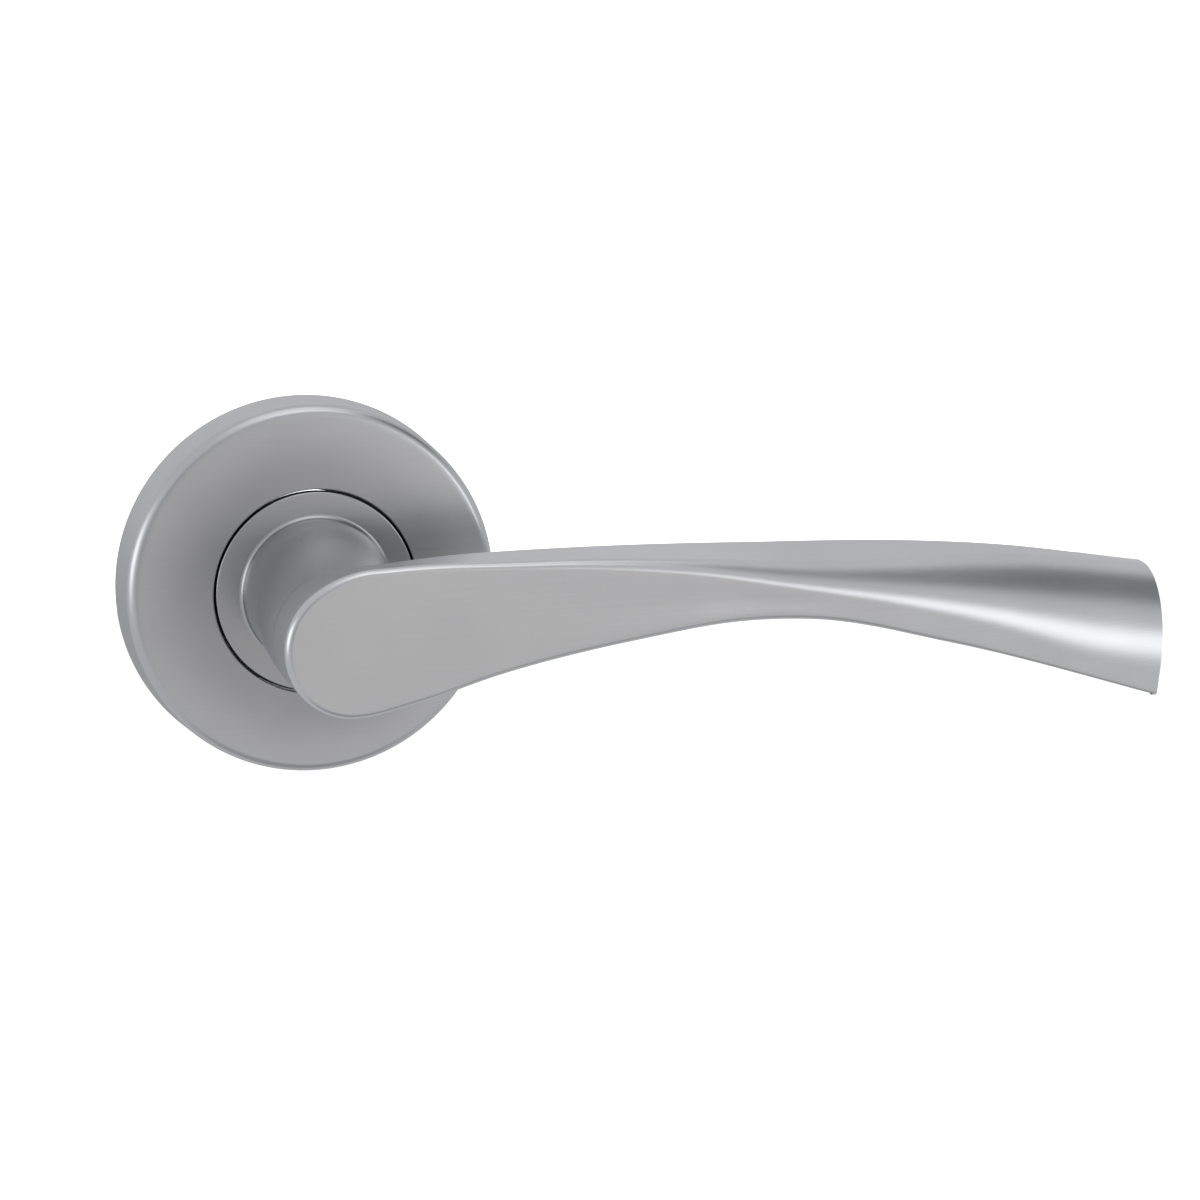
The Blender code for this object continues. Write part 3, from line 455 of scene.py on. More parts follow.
def turned_steel(name):
    """Bright steel with fine rings left by turning about the spindle's axis."""
    mat, nodes, links, shader = new_material(name)
    coordinates = nodes.new("ShaderNodeTexCoord")
    split = nodes.new("ShaderNodeSeparateXYZ")
    links.new(coordinates.outputs["Object"], split.inputs["Vector"])
    radius = nodes.new("ShaderNodeMath")
    radius.operation = "POWER"
    radius.inputs[1].default_value = 0.5
    x_squared = product(nodes, links, split.outputs["X"], split.outputs["X"])
    z_squared = product(nodes, links, split.outputs["Z"], split.outputs["Z"])
    total = nodes.new("ShaderNodeMath")
    links.new(x_squared, total.inputs[0])
    links.new(z_squared, total.inputs[1])
    links.new(total.outputs["Value"], radius.inputs[0])
    rings = nodes.new("ShaderNodeTexNoise")
    rings.noise_dimensions = "1D"
    rings.inputs["Scale"].default_value = 9000.0
    rings.inputs["Detail"].default_value = 2.0
    links.new(radius.outputs["Value"], rings.inputs["W"])
    fine = rings.outputs["Fac"]
    coat(nodes, links, shader, fine, ((0.50, 0.50, 0.52), (0.68, 0.68, 0.69)), fine, (0.2, 0.36))
    shader.inputs["Metallic"].default_value = 1.0
    add_bump(nodes, links, shader, fine, 0.3)
    return mat


def moulded_nylon(name):
    """Natural nylon: milky, slightly uneven and softly glossy."""
    mat, nodes, links, shader = new_material(name)
    cloud = noise(nodes, links, (240, 240, 240), 3.0, 0.5)
    coat(nodes, links, shader, cloud, ((0.74, 0.72, 0.65), (0.86, 0.85, 0.80)), cloud, (0.38, 0.52))
    shader.inputs["Subsurface Weight"].default_value = 0.15
    shader.inputs["Subsurface Scale"].default_value = 0.8 * MM
    pores = noise(nodes, links, (3000, 3000, 3000), 2.0, 0.5)
    add_bump(nodes, links, shader, pores, 0.15)
    return mat


# Mesh helpers


def on_y(radius, out, angle):
    """A point at this radius from the spindle's axis; the angle goes from +X to +Z."""
    return Vector((radius * math.cos(angle), -out, radius * math.sin(angle)))


def even_angles(segments, offset=0.5):
    """Angles spaced evenly round a circle, the first one offset by a share of a step."""
    return [2 * math.pi * (step + offset) / segments for step in range(segments)]


def circle(radius, out, angles):
    """A ring of points round the spindle's axis."""
    return [on_y(radius, out, angle) for angle in angles]


def quadratic(start, corner, end, t):
    """A point on the curve that leaves start and reaches end, drawn towards the corner."""
    return start * (1 - t) ** 2 + corner * 2 * t * (1 - t) + end * t**2


def new_object(name, points, faces):
    """An object whose faces all point outwards."""
    mesh = bpy.data.meshes.new(name)
    mesh.from_pydata([tuple(p) for p in points], [], faces)
    bm = bmesh.new()
    bm.from_mesh(mesh)
    bmesh.ops.recalc_face_normals(bm, faces=bm.faces)
    bm.to_mesh(mesh)
    bm.free()
    obj = bpy.data.objects.new(name, mesh)
    bpy.context.scene.collection.objects.link(obj)
    return obj


def mesh_piece(name, points, faces, mat, body, node, finish):
    """A smooth shaded piece that stands for a CAD node and rides on a body, if one is given."""
    obj = new_object(name, points, faces)
    obj.data.materials.append(mat)
    obj.data.shade_smooth()
    obj.data.set_sharp_from_angle(angle=SHARP_EDGE)
    if body:
        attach(obj, body)
    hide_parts(node)
    return obj


def loft(rings, closed=True, capped=(True, True)):
    """Points and faces of a skin over rings of equally many points."""
    points = [p for ring in rings for p in ring]
    count = len(rings[0])
    faces = []
    for row in range(len(rings) - 1):
        for i in range(count if closed else count - 1):
            j = (i + 1) % count
            low, high = row * count, (row + 1) * count
            faces.append((low + i, low + j, high + j, high + i))
    if capped[0]:
        faces.append(tuple(range(count)))
    if capped[1]:
        faces.append(tuple(range(len(points) - count, len(points))))
    return points, faces


def joined(*shells):
    """Several (points, faces) shells as one."""
    points, faces = [], []
    for shell_points, shell_faces in shells:
        start = len(points)
        points += shell_points
        faces += [tuple(start + i for i in face) for face in shell_faces]
    return points, faces


def turned(profile, segments, start=0.0, sweep=2 * math.pi):
    """A closed (radius, out) outline turned about the spindle's axis, fully or in part."""
    whole = math.isclose(sweep, 2 * math.pi)
    count = segments if whole else segments + 1
    angles = [start + sweep * step / segments for step in range(count)]
    rings = [[on_y(radius, out, angle) for radius, out in profile] for angle in angles]
    if whole:
        points, faces = loft(rings + [rings[0]], capped=(False, False))
        size = len(profile)
        last = len(points) - size
        points = points[:last]
        faces = [tuple(i - last if i >= last else i for i in face) for face in faces]
        return points, faces
    return loft(rings)


def arc(centre, radius, start, end, steps):
    """Points along a part of a circle, ends included."""
    points = []
    for step in range(steps + 1):
        angle = start + (end - start) * step / steps
        points.append((centre[0] + radius * math.cos(angle), centre[1] + radius * math.sin(angle)))
    return points


def softened(profile, radius, steps=3):
    """Rounds every corner of a closed (radius, out) outline."""
    result = []
    corners = [Vector(p) for p in profile]
    for number, corner in enumerate(corners):
        before = corners[number - 1] - corner
        after = corners[(number + 1) % len(corners)] - corner
        reach = min(radius, before.length * 0.45, after.length * 0.45)
        start = corner + before.normalized() * reach
        end = corner + after.normalized() * reach
        for step in range(steps + 1):
            result.append(tuple(quadratic(start, corner, end, step / steps)))
    return result


def moved(shell, offset):
    """A shell moved by an offset."""
    points, faces = shell
    return [p + Vector(offset) for p in points], faces


def onto_axis(shell, low, high):
    """A shell made round the spindle's axis, moved to the middle of a node's box."""
    return moved(shell, ((low.x + high.x) / 2, 0, (low.z + high.z) / 2))


# Lever


def value_at(curve, share, start=None, start_slope=0.0):
    """Reads a smooth curve through (share, millimetres) points, in metres."""
    places = [point[0] for point in curve]
    values = [point[1] * MM for point in curve]
    if start is not None:
        places.insert(0, 0.0)
        values.insert(0, start)
    slopes = np.gradient(values, places)
    slopes[0] = start_slope
    share = min(max(share, 0.0), 1.0)
    i = min(int(np.searchsorted(places, share, side="right")) - 1, len(places) - 2)
    width = places[i + 1] - places[i]
    t = (share - places[i]) / width
    near = (1 + 2 * t) * (1 - t) ** 2 * values[i] + t * (1 - t) ** 2 * width * slopes[i]
    far = t**2 * (3 - 2 * t) * values[i + 1] + t**2 * (t - 1) * width * slopes[i + 1]
    return float(near + far)


def rounded_corner(before, corner, after, reach_before, reach_after, steps):
    """Rounds a corner with a quarter of an ellipse that touches both sides."""
    start = corner + (before - corner).normalized() * reach_before
    end = corner + (after - corner).normalized() * reach_after
    weight = math.sqrt(0.5)
    points = []
    for step in range(steps + 1):
        t = step / steps
        shares = ((1 - t) ** 2, 2 * t * (1 - t) * weight, t**2)
        points.append((start * shares[0] + corner * shares[1] + end * shares[2]) / sum(shares))
    return points


def between(start, end, count):
    """Points strictly between two others."""
    return [start.lerp(end, (step + 1) / (count + 1)) for step in range(count)]


def blade_section(share, shoulder=HEAD_SHOULDER):
    """The blade's outline in (y, z): upper half from front to back, lower half from back to front."""
    head_top = HEAD_CENTRE[1] + HEAD_RADIUS
    head_bottom = HEAD_CENTRE[1] - HEAD_RADIUS
    front = -FRONT_OUT
    back = front + value_at(BLADE_DEPTH, share)
    slope = SHOULDER_SLOPE * BLADE_LENGTH
    front_top = Vector((front, value_at(CREASE_HEIGHT, share, head_top + shoulder, slope)))
    back_top = Vector((back, value_at(BACK_TOP_HEIGHT, share, head_top)))
    back_bottom = Vector((back, value_at(BACK_UNDERSIDE_HEIGHT, share, head_bottom)))
    front_bottom = Vector((front, value_at(UNDERSIDE_HEIGHT, share, head_bottom)))
    down = value_at(CREASE_ROLL_DOWN, share)
    over = value_at(CREASE_ROLL_BACK, share)
    edge = (HEAD_EDGE_RADIUS, HEAD_EDGE_RADIUS, EDGE_STEPS)
    back_edge = (BACK_EDGE_RADIUS, BACK_EDGE_RADIUS, EDGE_STEPS)
    crease = rounded_corner(front_bottom, front_top, back_top, down, over, CREASE_STEPS)
    top_back = rounded_corner(front_top, back_top, back_bottom, *back_edge)
    bottom_back = rounded_corner(back_top, back_bottom, front_bottom, *back_edge)
    bottom_front = rounded_corner(back_bottom, front_bottom, front_top, *edge)
    hollow = FACE_HOLLOW * math.exp(-(((share - HOLLOW_PLACE) / HOLLOW_WIDTH) ** 2))

    def front_face(start, end, low, high):
        """Points across the front face, which is slightly hollow about the waist."""
        points = between(start, end, FACE_POINTS)
        for step, point in enumerate(points):
            across = low + (high - low) * (step + 1) / (FACE_POINTS + 1)
            point.x += hollow * math.sin(math.pi * across) ** 2
        return points

    round_top = value_at(CREASE_HEIGHT, share, head_top, slope) - down
    front_middle = Vector((front, (round_top + bottom_front[-1].y) / 2))
    back_middle = (top_back[-1] + bottom_back[0]) / 2
    middle_point = front_middle + Vector((hollow, 0))
    upper = [middle_point] + front_face(front_middle, crease[0], 0.5, 0) + crease
    upper += between(crease[-1], top_back[0], SIDE_POINTS) + top_back
    upper += between(top_back[-1], back_middle, BACK_POINTS) + [back_middle]
    lower = between(back_middle, bottom_back[0], BACK_POINTS) + bottom_back
    lower += between(bottom_back[-1], bottom_front[0], SIDE_POINTS) + bottom_front
    lower += front_face(bottom_front[-1], front_middle, 1, 0.5)
    return upper, lower


def slant_at(share):
    """How much the sections lean along the blade, so that its end is cut at a slant."""
    past_start = max(0.0, (share - BLADE_SLANT_START) / (1 - BLADE_SLANT_START))
    return math.tan(BLADE_END_SLANT) * past_start**2


def blade_shell():
    """Loft of the blade, with its rounded end cut and its half round head."""
    last_share = 1 - BLADE_END_ROUNDING / BLADE_LENGTH
    rings = []
    for step in range(BLADE_STATIONS + 1):
        share = last_share * step / BLADE_STATIONS
        x = HEAD_CENTRE[0] + BLADE_LENGTH * share
        upper, lower = blade_section(share)
        middle = upper[0].y
        slant = slant_at(share)
        rings.append([Vector((x + slant * (p.y - middle), p.x, p.y)) for p in upper + lower])
    rings += blade_end(last_share)
    return joined(loft(rings, capped=(False, True)), head_shell())


def blade_end(last_share):
    """Rings that round the edge of the end cut and close it flat."""
    upper, lower = blade_section(last_share)
    points = upper + lower
    middle = sum((Vector(p) for p in points), Vector((0, 0))) / len(points)
    half_depth = max(abs(p.x - middle.x) for p in points)
    half_height = max(abs(p.y - middle.y) for p in points)
    last_x = HEAD_CENTRE[0] + BLADE_LENGTH * last_share
    slant = slant_at(1.0)
    keeps = []
    for step in range(1, END_STEPS + 1):
        angle = math.pi / 2 * step / END_STEPS
        keep_depth = 1 - BLADE_END_ROUNDING * (1 - math.cos(angle)) / half_depth
        keep_height = 1 - BLADE_CORNER_ROUNDING * (1 - math.cos(angle)) / half_height
        keeps.append((last_x + BLADE_END_ROUNDING * math.sin(angle), keep_depth, keep_height))
    end_x, end_depth, end_height = keeps[-1]
    for keep in END_FACE_SHARES:
        keeps.append((end_x, end_depth * keep, end_height * keep))
    rings = []
    for x, keep_depth, keep_height in keeps:
        ring = []
        for p in points:
            y = middle.x + (p.x - middle.x) * keep_depth
            z = middle.y + (p.y - middle.y) * keep_height
            ring.append(Vector((x + slant * (z - middle.y), y, z)))
        rings.append(ring)
    return rings


def head_shell():
    """The head's outer half: the upper half of the first section turned about its centre."""
    upper, _ = blade_section(0.0)
    round_upper, _ = blade_section(0.0, 0.0)
    rings = []
    for step in range(HEAD_STEPS + 1):
        angle = math.pi * step / HEAD_STEPS
        kept = max(0.0, 1 - angle / SHOULDER_ANGLE) ** 2
        ring = []
        for round_point, top_point in zip(round_upper, upper):
            p = round_point.lerp(top_point, kept)
            reach = p.y - HEAD_CENTRE[1]
            x = HEAD_CENTRE[0] - reach * math.sin(angle)
            ring.append(Vector((x, p.x, HEAD_CENTRE[1] + reach * math.cos(angle))))
        rings.append(ring)
    return loft(rings, closed=False, capped=(False, False))


def neck_shell():
    """Journal with its square socket, flange and the neck that flares into the blade."""
    half = SPINDLE_WIDTH / 2 + SEAT_GAP
    flange_back = ROSE_OUT - FLANGE_THICKNESS
    angles = even_angles(FINE_ROUND, 0)

    def square(out, size):
        return [on_y(size / max(abs(math.cos(a)), abs(math.sin(a))), out, a) for a in angles]

    rings = [
        square(SPINDLE_TOP_OUT + SEAT_GAP, half),
        square(JOURNAL_END_OUT + JOURNAL_CHAMFER, half),
        square(JOURNAL_END_OUT, half + JOURNAL_CHAMFER),
    ]
    profile = [
        (JOURNAL_RADIUS - JOURNAL_CHAMFER, JOURNAL_END_OUT),
        (JOURNAL_RADIUS, JOURNAL_END_OUT + JOURNAL_CHAMFER),
        (JOURNAL_RADIUS, GROOVE_OUTS[0]),
        (GROOVE_RADIUS, GROOVE_OUTS[0]),
        (GROOVE_RADIUS, GROOVE_OUTS[1]),
        (JOURNAL_RADIUS, GROOVE_OUTS[1]),
        (JOURNAL_RADIUS, flange_back),
        (FLANGE_RADIUS - FLANGE_CHAMFER, flange_back),
        (FLANGE_RADIUS, flange_back + FLANGE_CHAMFER),
        (FLANGE_RADIUS, ROSE_OUT - FLANGE_CHAMFER),
    ]
    rim_centre = (FLANGE_RADIUS - FLANGE_CHAMFER, ROSE_OUT - FLANGE_CHAMFER)
    profile += arc(rim_centre, FLANGE_CHAMFER, math.radians(15), math.radians(90), 5)
    fillet_centre = (NECK_RADIUS + NECK_FILLET, ROSE_OUT + NECK_FILLET)
    profile += arc(fillet_centre, NECK_FILLET, -math.pi / 2, -math.pi, 10)
    rings += [circle(radius, out, angles) for radius, out in profile]
    blade_back = FRONT_OUT - value_at(BLADE_DEPTH, 0.0)
    start = fillet_centre[1]
    for row in range(1, NECK_ROWS + 1):
        share = row / NECK_ROWS
        out = start + (blade_back - start) * math.sin(share * math.pi / 2)
        rings.append([neck_point(angle, out, start, blade_back) for angle in angles])
    last = rings[-1]
    rings.append([p + Vector((0, blade_back - NECK_END_OUT, 0)) for p in last])
    return loft(rings)


def neck_point(angle, out, start, blade_back):
    """A point of the neck: it eases from the flange's centre to the head's, then flares."""
    share = min(1.0, (out - start) / (blade_back - start))
    ease = share * share * (3 - 2 * share)
    radius = NECK_RADIUS + (NECK_TOP_RADIUS - NECK_RADIUS) * ease
    turn = abs(math.remainder(angle, 2 * math.pi)) / NECK_FLARE_ANGLE
    if turn < 1:
        flare = NECK_FLARE * (1 - turn * turn * (3 - 2 * turn))
        climb = out - (blade_back - flare)
        if climb > 0:
            radius += flare - math.sqrt(max(0.0, flare**2 - climb**2))
    centre = Vector((NECK_LEAN[0], 0, NECK_LEAN[1])) * ease
    return on_y(radius, out, angle) + centre


def cut(shell, cutter):
    """A shell with the inside of another one taken away."""
    objects = [new_object("cut", *each) for each in (shell, cutter)]
    modifier = objects[0].modifiers.new("cut", "BOOLEAN")
    modifier.object = objects[1]
    modifier.operation = "DIFFERENCE"
    result = objects[0].evaluated_get(bpy.context.evaluated_depsgraph_get()).to_mesh()
    points = [v.co.copy() for v in result.vertices]
    faces = [tuple(face.vertices) for face in result.polygons]
    for obj in objects:
        bpy.data.objects.remove(obj, do_unlink=True)
    return points, faces


def turned_down(shell, out):
    """A shell made along the out direction, turned to point down at this depth."""
    points, faces = shell
    return [Vector((p.x, -out + p.z, p.y)) for p in points], faces


def lever(mat):
    """Neck, flange and blade as one piece, with the hole for the screw that grips the spindle."""
    angles = even_angles(SMALL_ROUND)
    hole = loft([circle(GRUB_HOLE_RADIUS, end, angles) for end in GRUB_HOLE_ENDS])
    neck = cut(neck_shell(), turned_down(hole, GRUB_OUT))
    points, faces = joined(neck, blade_shell())
    mesh_piece("lever", points, faces, mat, "lever", "lever_handle", "satin_steel")


# Fixings


def thread_rings(low, high, radius_at, depth, pitch, segments):
    """Rings along a thread: its crest is at the radius and its root a depth inside that."""
    rows = max(2, round(abs(high - low) / pitch * THREAD_ROWS))
    rings = []
    for row in range(rows + 1):
        out = low + (high - low) * row / rows
        fade = min(1.0, row / THREAD_FADE_ROWS, (rows - row) / THREAD_FADE_ROWS)
        ring = []
        for angle in even_angles(segments):
            phase = (out / pitch + angle / (2 * math.pi)) % 1.0
            wave = abs(2 * phase - 1)
            ring.append(on_y(radius_at(out) - depth * wave * fade, out, angle))
        rings.append(ring)
    return rings


def cross_ring(out, scale, segments):
    """Outline of the cross recess in a screw's head."""
    reach, half = CROSS_REACH * scale, CROSS_HALF_WIDTH * (0.5 + 0.5 * scale)
    ring = []
    for angle in even_angles(segments):
        along, across = abs(math.cos(angle)), abs(math.sin(angle))
        wide = min(reach / along, half / across)
        tall = min(half / along, reach / across)
        ring.append(on_y(max(wide, tall), out, angle))
    return ring


def wood_screw(name, node, mat):
    """Countersunk wood screw with a cut thread, a point and a cross recess."""
    low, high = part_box(node)
    head_out, tip_out = -low.y, -high.y
    head_radius = (high.x - low.x) / 2
    segments = SMALL_ROUND * 2
    angles = even_angles(segments)

    def radius_at(out):
        taper = min(1.0, max(0.0, (out - tip_out) / SCREW_TIP_LENGTH))
        return SCREW_POINT_RADIUS + (SCREW_SHANK_RADIUS - SCREW_POINT_RADIUS) * math.sqrt(taper)

    shank_top = head_out - SCREW_HEAD_HEIGHT
    thread_top = shank_top - SCREW_PLAIN_LENGTH
    rings = thread_rings(tip_out, thread_top, radius_at, SCREW_THREAD_DEPTH, SCREW_PITCH, segments)
    profile = [
        (SCREW_WAIST_RADIUS, thread_top + SCREW_WAIST_INSETS[0]),
        (SCREW_WAIST_RADIUS, shank_top - SCREW_WAIST_INSETS[1]),
        (SCREW_SHANK_RADIUS, shank_top),
        (head_radius, head_out - SCREW_HEAD_LAND),
        (head_radius, head_out - SCREW_EDGE),
        (head_radius - SCREW_EDGE, head_out),
    ]
    rings += [circle(radius, out, angles) for radius, out in profile]
    rings += [cross_ring(head_out - CROSS_DEPTH * deep, wide, segments) for deep, wide in CROSS_TAPER]
    mesh_piece(name, *onto_axis(loft(rings), low, high), mat, "base", node, "zinc_plated_steel")


def mounting_post(name, node, mat):
    """Round post with a tapped bore, a groove and a dimpled neck that sits in the plate."""
    low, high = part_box(node)
    front_out, end_out = -low.y, -high.y
    radius = (high.x - low.x) / 2
    angles = even_angles(SMALL_ROUND)
    groove = radius - POST_GROOVE_DEPTH
    profile = [
        (POST_NECK_RADIUS * 0.45, front_out - POST_DIMPLE),
        (POST_NECK_RADIUS * 0.9, front_out),
        (POST_NECK_RADIUS, front_out - POST_NECK_EDGE),
        (POST_NECK_RADIUS, -SEAT_GAP),
        (radius - POST_SHOULDER_EDGE, -SEAT_GAP),
        (radius, -SEAT_GAP - POST_SHOULDER_EDGE),
    ]
    profile += list(zip((radius, groove, groove, radius), POST_GROOVE_OUTS))
    profile += [
        (radius, end_out + POST_CHAMFER),
        (radius - POST_CHAMFER, end_out),
        (POST_BORE_RADIUS + POST_BORE_CHAMFER, end_out),
        (POST_BORE_RADIUS, end_out + POST_BORE_CHAMFER),
    ]
    rings = [circle(size, out, angles) for size, out in profile]
    bottom = end_out + POST_BORE_DEPTH
    crest = POST_BORE_RADIUS + POST_THREAD_DEPTH
    thread = (end_out + POST_THREAD_INSETS[0], bottom - POST_THREAD_INSETS[1])
    rings += thread_rings(*thread, lambda out: crest, POST_THREAD_DEPTH, POST_PITCH, SMALL_ROUND)
    rings.append(circle(POST_BORE_RADIUS * 0.9, bottom - POST_DRILL_DEPTH, angles))
    rings.append(circle(POST_DRILL_RADIUS, bottom, angles))
    mesh_piece(name, *onto_axis(loft(rings), low, high), mat, "base", node, "zinc_plated_steel")


def grub_screw(mat):
    """Socket set screw with a cup point, under the spindle."""
    low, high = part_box("spindle_grub_screw")
    radius = (high.x - low.x) / 2
    length = high.z - low.z
    angles = even_angles(SMALL_ROUND)

    def hexagon(out, scale):
        ring = []
        for angle in angles:
            turn = (angle % (math.pi / 3)) - math.pi / 6
            ring.append(on_y(GRUB_HEX_WIDTH / 2 * scale / math.cos(turn), out, angle))
        return ring

    rings = [circle(radius * share, out, angles) for share, out in GRUB_CUP]
    thread = (GRUB_THREAD_INSETS[0], length - GRUB_THREAD_INSETS[1])
    rings += thread_rings(*thread, lambda out: radius, GRUB_THREAD_DEPTH, GRUB_PITCH, SMALL_ROUND)
    rings += [
        circle(radius - GRUB_END_CHAMFER, length, angles),
        hexagon(length, GRUB_HEX_LEAD_SCALE),
        hexagon(length - GRUB_HEX_LEAD, 1.0),
        hexagon(length - GRUB_HEX_DEPTH, 1.0),
        circle(GRUB_DRILL_RADIUS, length - GRUB_HEX_DEPTH - GRUB_DRILL_DEPTH, angles),
    ]
    points, faces = loft(rings)
    points = [Vector((p.x, -GRUB_OUT + p.z, high.z + p.y)) for p in points]
    mesh_piece("grub_screw", points, faces, mat, "lever", "spindle_grub_screw", "black_steel")


def spindle(mat):
    """Square bar with rounded edges and chamfered ends."""
    half = SPINDLE_WIDTH / 2
    end_out = -SPINDLE_HIGH.y

    def square(size, out):
        ring = []
        for angle in even_angles(SMALL_ROUND * 2):
            x = size * max(-1.0, min(1.0, math.cos(angle) * math.sqrt(2)))
            z = size * max(-1.0, min(1.0, math.sin(angle) * math.sqrt(2)))
            keep = size - SPINDLE_EDGE
            corner = Vector((max(0.0, abs(x) - keep), max(0.0, abs(z) - keep)))
            if corner.length > SPINDLE_EDGE:
                corner *= SPINDLE_EDGE / corner.length
            x = math.copysign(min(abs(x), keep) + corner.x, x)
            z = math.copysign(min(abs(z), keep) + corner.y, z)
            ring.append(Vector((x, -out, z)))
        return ring

    rings = [square(half - inset, end_out + along) for inset, along in SPINDLE_CHAMFER]
    rings += [square(half - inset, SPINDLE_TOP_OUT - along) for inset, along in reversed(SPINDLE_CHAMFER)]
    points, faces = loft(rings)
    mesh_piece("spindle_bar", points, faces, mat, "lever", "spindle", "zinc_plated_steel")


# Rings, bush and spring


def ring_piece(name, node, mat, body, finish, opening=0.0):
    """A ring with softened edges in its CAD node's box, split at the bottom if it opens."""
    low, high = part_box(node)
    out_low, out_high = -high.y, -low.y
    outer = high.z
    inner = outer - RING_WIDTHS[node]
    profile = [(inner, out_low), (outer, out_low), (outer, out_high), (inner, out_high)]
    start = -math.pi / 2 + opening / 2
    shell = turned(softened(profile, RING_EDGES[node]), FINE_ROUND, start, 2 * math.pi - opening)
    mesh_piece(name, *shell, mat, body, node, finish)


def circlip(mat):
    """Retaining ring that narrows towards its two lugs, each with an eye for the pliers."""
    low, high = -CIRCLIP_HIGH.y, -CIRCLIP_LOW.y
    outer = CIRCLIP_HIGH.z
    inner = outer - CIRCLIP_WIDE
    lug_circle = inner + CIRCLIP_LUG_RADIUS
    lug_angle = CIRCLIP_LUG_RADIUS / lug_circle
    start = -math.pi / 2 + CIRCLIP_OPENING / 2 + lug_angle * CIRCLIP_BAND_STOP
    end = 1.5 * math.pi - CIRCLIP_OPENING / 2 - lug_angle * CIRCLIP_BAND_STOP
    rings = []
    for step in range(FINE_ROUND + 1):
        angle = start + (end - start) * step / FINE_ROUND
        width = CIRCLIP_NARROW + (CIRCLIP_WIDE - CIRCLIP_NARROW) * math.sin(math.pi * step / FINE_ROUND)
        profile = [(inner, low), (inner + width, low), (inner + width, high), (inner, high)]
        rings.append([on_y(radius, out, angle) for radius, out in softened(profile, CIRCLIP_EDGE)])
    shells = [loft(rings)]
    eye, rim = CIRCLIP_EYE_RADIUS, CIRCLIP_LUG_RADIUS
    lug = turned(softened([(eye, low), (rim, low), (rim, high), (eye, high)], CIRCLIP_EDGE), SMALL_ROUND)
    for side in (-1, 1):
        angle = -math.pi / 2 + side * (CIRCLIP_OPENING / 2 + lug_angle)
        shells.append(moved(lug, on_y(lug_circle, 0, angle)))
    mesh_piece("retaining_ring", *joined(*shells), mat, "lever", "circlip", "spring_steel")


def bush(mat):
    """Flanged nylon bearing with rounded edges."""
    low, high = -BUSH_HIGH.y, -BUSH_LOW.y
    inner = JOURNAL_RADIUS + BUSH_GAP
    wall = inner + BUSH_WALL
    flange = BUSH_HIGH.z
    seat = low + BUSH_FLANGE_PLACE
    top = seat + BUSH_FLANGE_THICKNESS
    profile = [
        (inner, low), (wall, low), (wall, seat), (flange, seat), (flange, top),
        (wall, top), (wall, high), (inner, high),
    ]
    shell = turned(softened(profile, BUSH_EDGE), FINE_ROUND)
    mesh_piece("nylon_bush", *shell, mat, "base", "bearing_bush", "nylon")


def tube(path, radius):
    """A round wire along a path of points, with rounded ends."""
    rings = []
    side = None
    for number, point in enumerate(path):
        before = path[max(number - 1, 0)]
        after = path[min(number + 1, len(path) - 1)]
        along = (after - before).normalized()
        if side is None:
            side = along.orthogonal().normalized()
        side = (side - along * side.dot(along)).normalized()
        other = along.cross(side)
        ring = []
        for angle in even_angles(WIRE_SEGMENTS, 0):
            ring.append(point + (side * math.cos(angle) + other * math.sin(angle)) * radius)
        rings.append(ring)
    first = [path[0] + (p - path[0]) * WIRE_END_SHARE for p in rings[0]]
    last = [path[-1] + (p - path[-1]) * WIRE_END_SHARE for p in rings[-1]]
    rings[0] = [p + (path[1] - path[0]).normalized() * radius * WIRE_END_INSET for p in rings[0]]
    rings[-1] = [p + (path[-2] - path[-1]).normalized() * radius * WIRE_END_INSET for p in rings[-1]]
    return loft([first] + rings + [last])


def return_spring(mat):
    """Torsion coil: its back leg holds in the plate and its front leg in the lever's flange."""
    back_out, front_out = -SPRING_HIGH.y, -SPRING_LOW.y
    helix = []
    for step in range(COIL_STEPS + 1):
        share = step / COIL_STEPS
        angle = SPRING_BACK_ANGLE - 2 * math.pi * SPRING_TURNS * share + SPRING_BEND * (2 * share - 1)
        out = COIL_BACK_OUT + (COIL_FRONT_OUT - COIL_BACK_OUT) * share
        helix.append(on_y(SPRING_RADIUS, out, angle))
    ends = []
    for leg_out, coil_end, turns in ((back_out, helix[0], 0.0), (front_out, helix[-1], SPRING_TURNS)):
        angle = SPRING_BACK_ANGLE - 2 * math.pi * turns
        leg = on_y(SPRING_RADIUS, leg_out, angle)
        knee = on_y(SPRING_RADIUS, -coil_end.y, angle)
        bend_start = leg.lerp(knee, LEG_STRAIGHT_SHARE)
        bend = [quadratic(bend_start, knee, coil_end, t) for t in (0.2, 0.4, 0.6, 0.8)]
        ends.append([leg, leg.lerp(bend_start, 0.5), bend_start] + bend)
    path = ends[0] + helix + list(reversed(ends[1]))
    points, faces = tube(path, SPRING_WIRE / 2)
    obj = mesh_piece("torsion_spring", points, faces, mat, None, "return_spring", "spring_steel")
    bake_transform(obj)


def finish_node(node, mat, bevel):
    """Gives a CAD node that stays its detailed finish and softened edges."""
    obj = frame["nodes"][node]
    obj.data.materials.clear()
    obj.data.materials.append(mat)
    modifier = obj.modifiers.new("edges", "BEVEL")
    modifier.width = bevel
    modifier.segments = 2
    modifier.limit_method = "ANGLE"
    modifier.angle_limit = BEVEL_ANGLE


# Rose


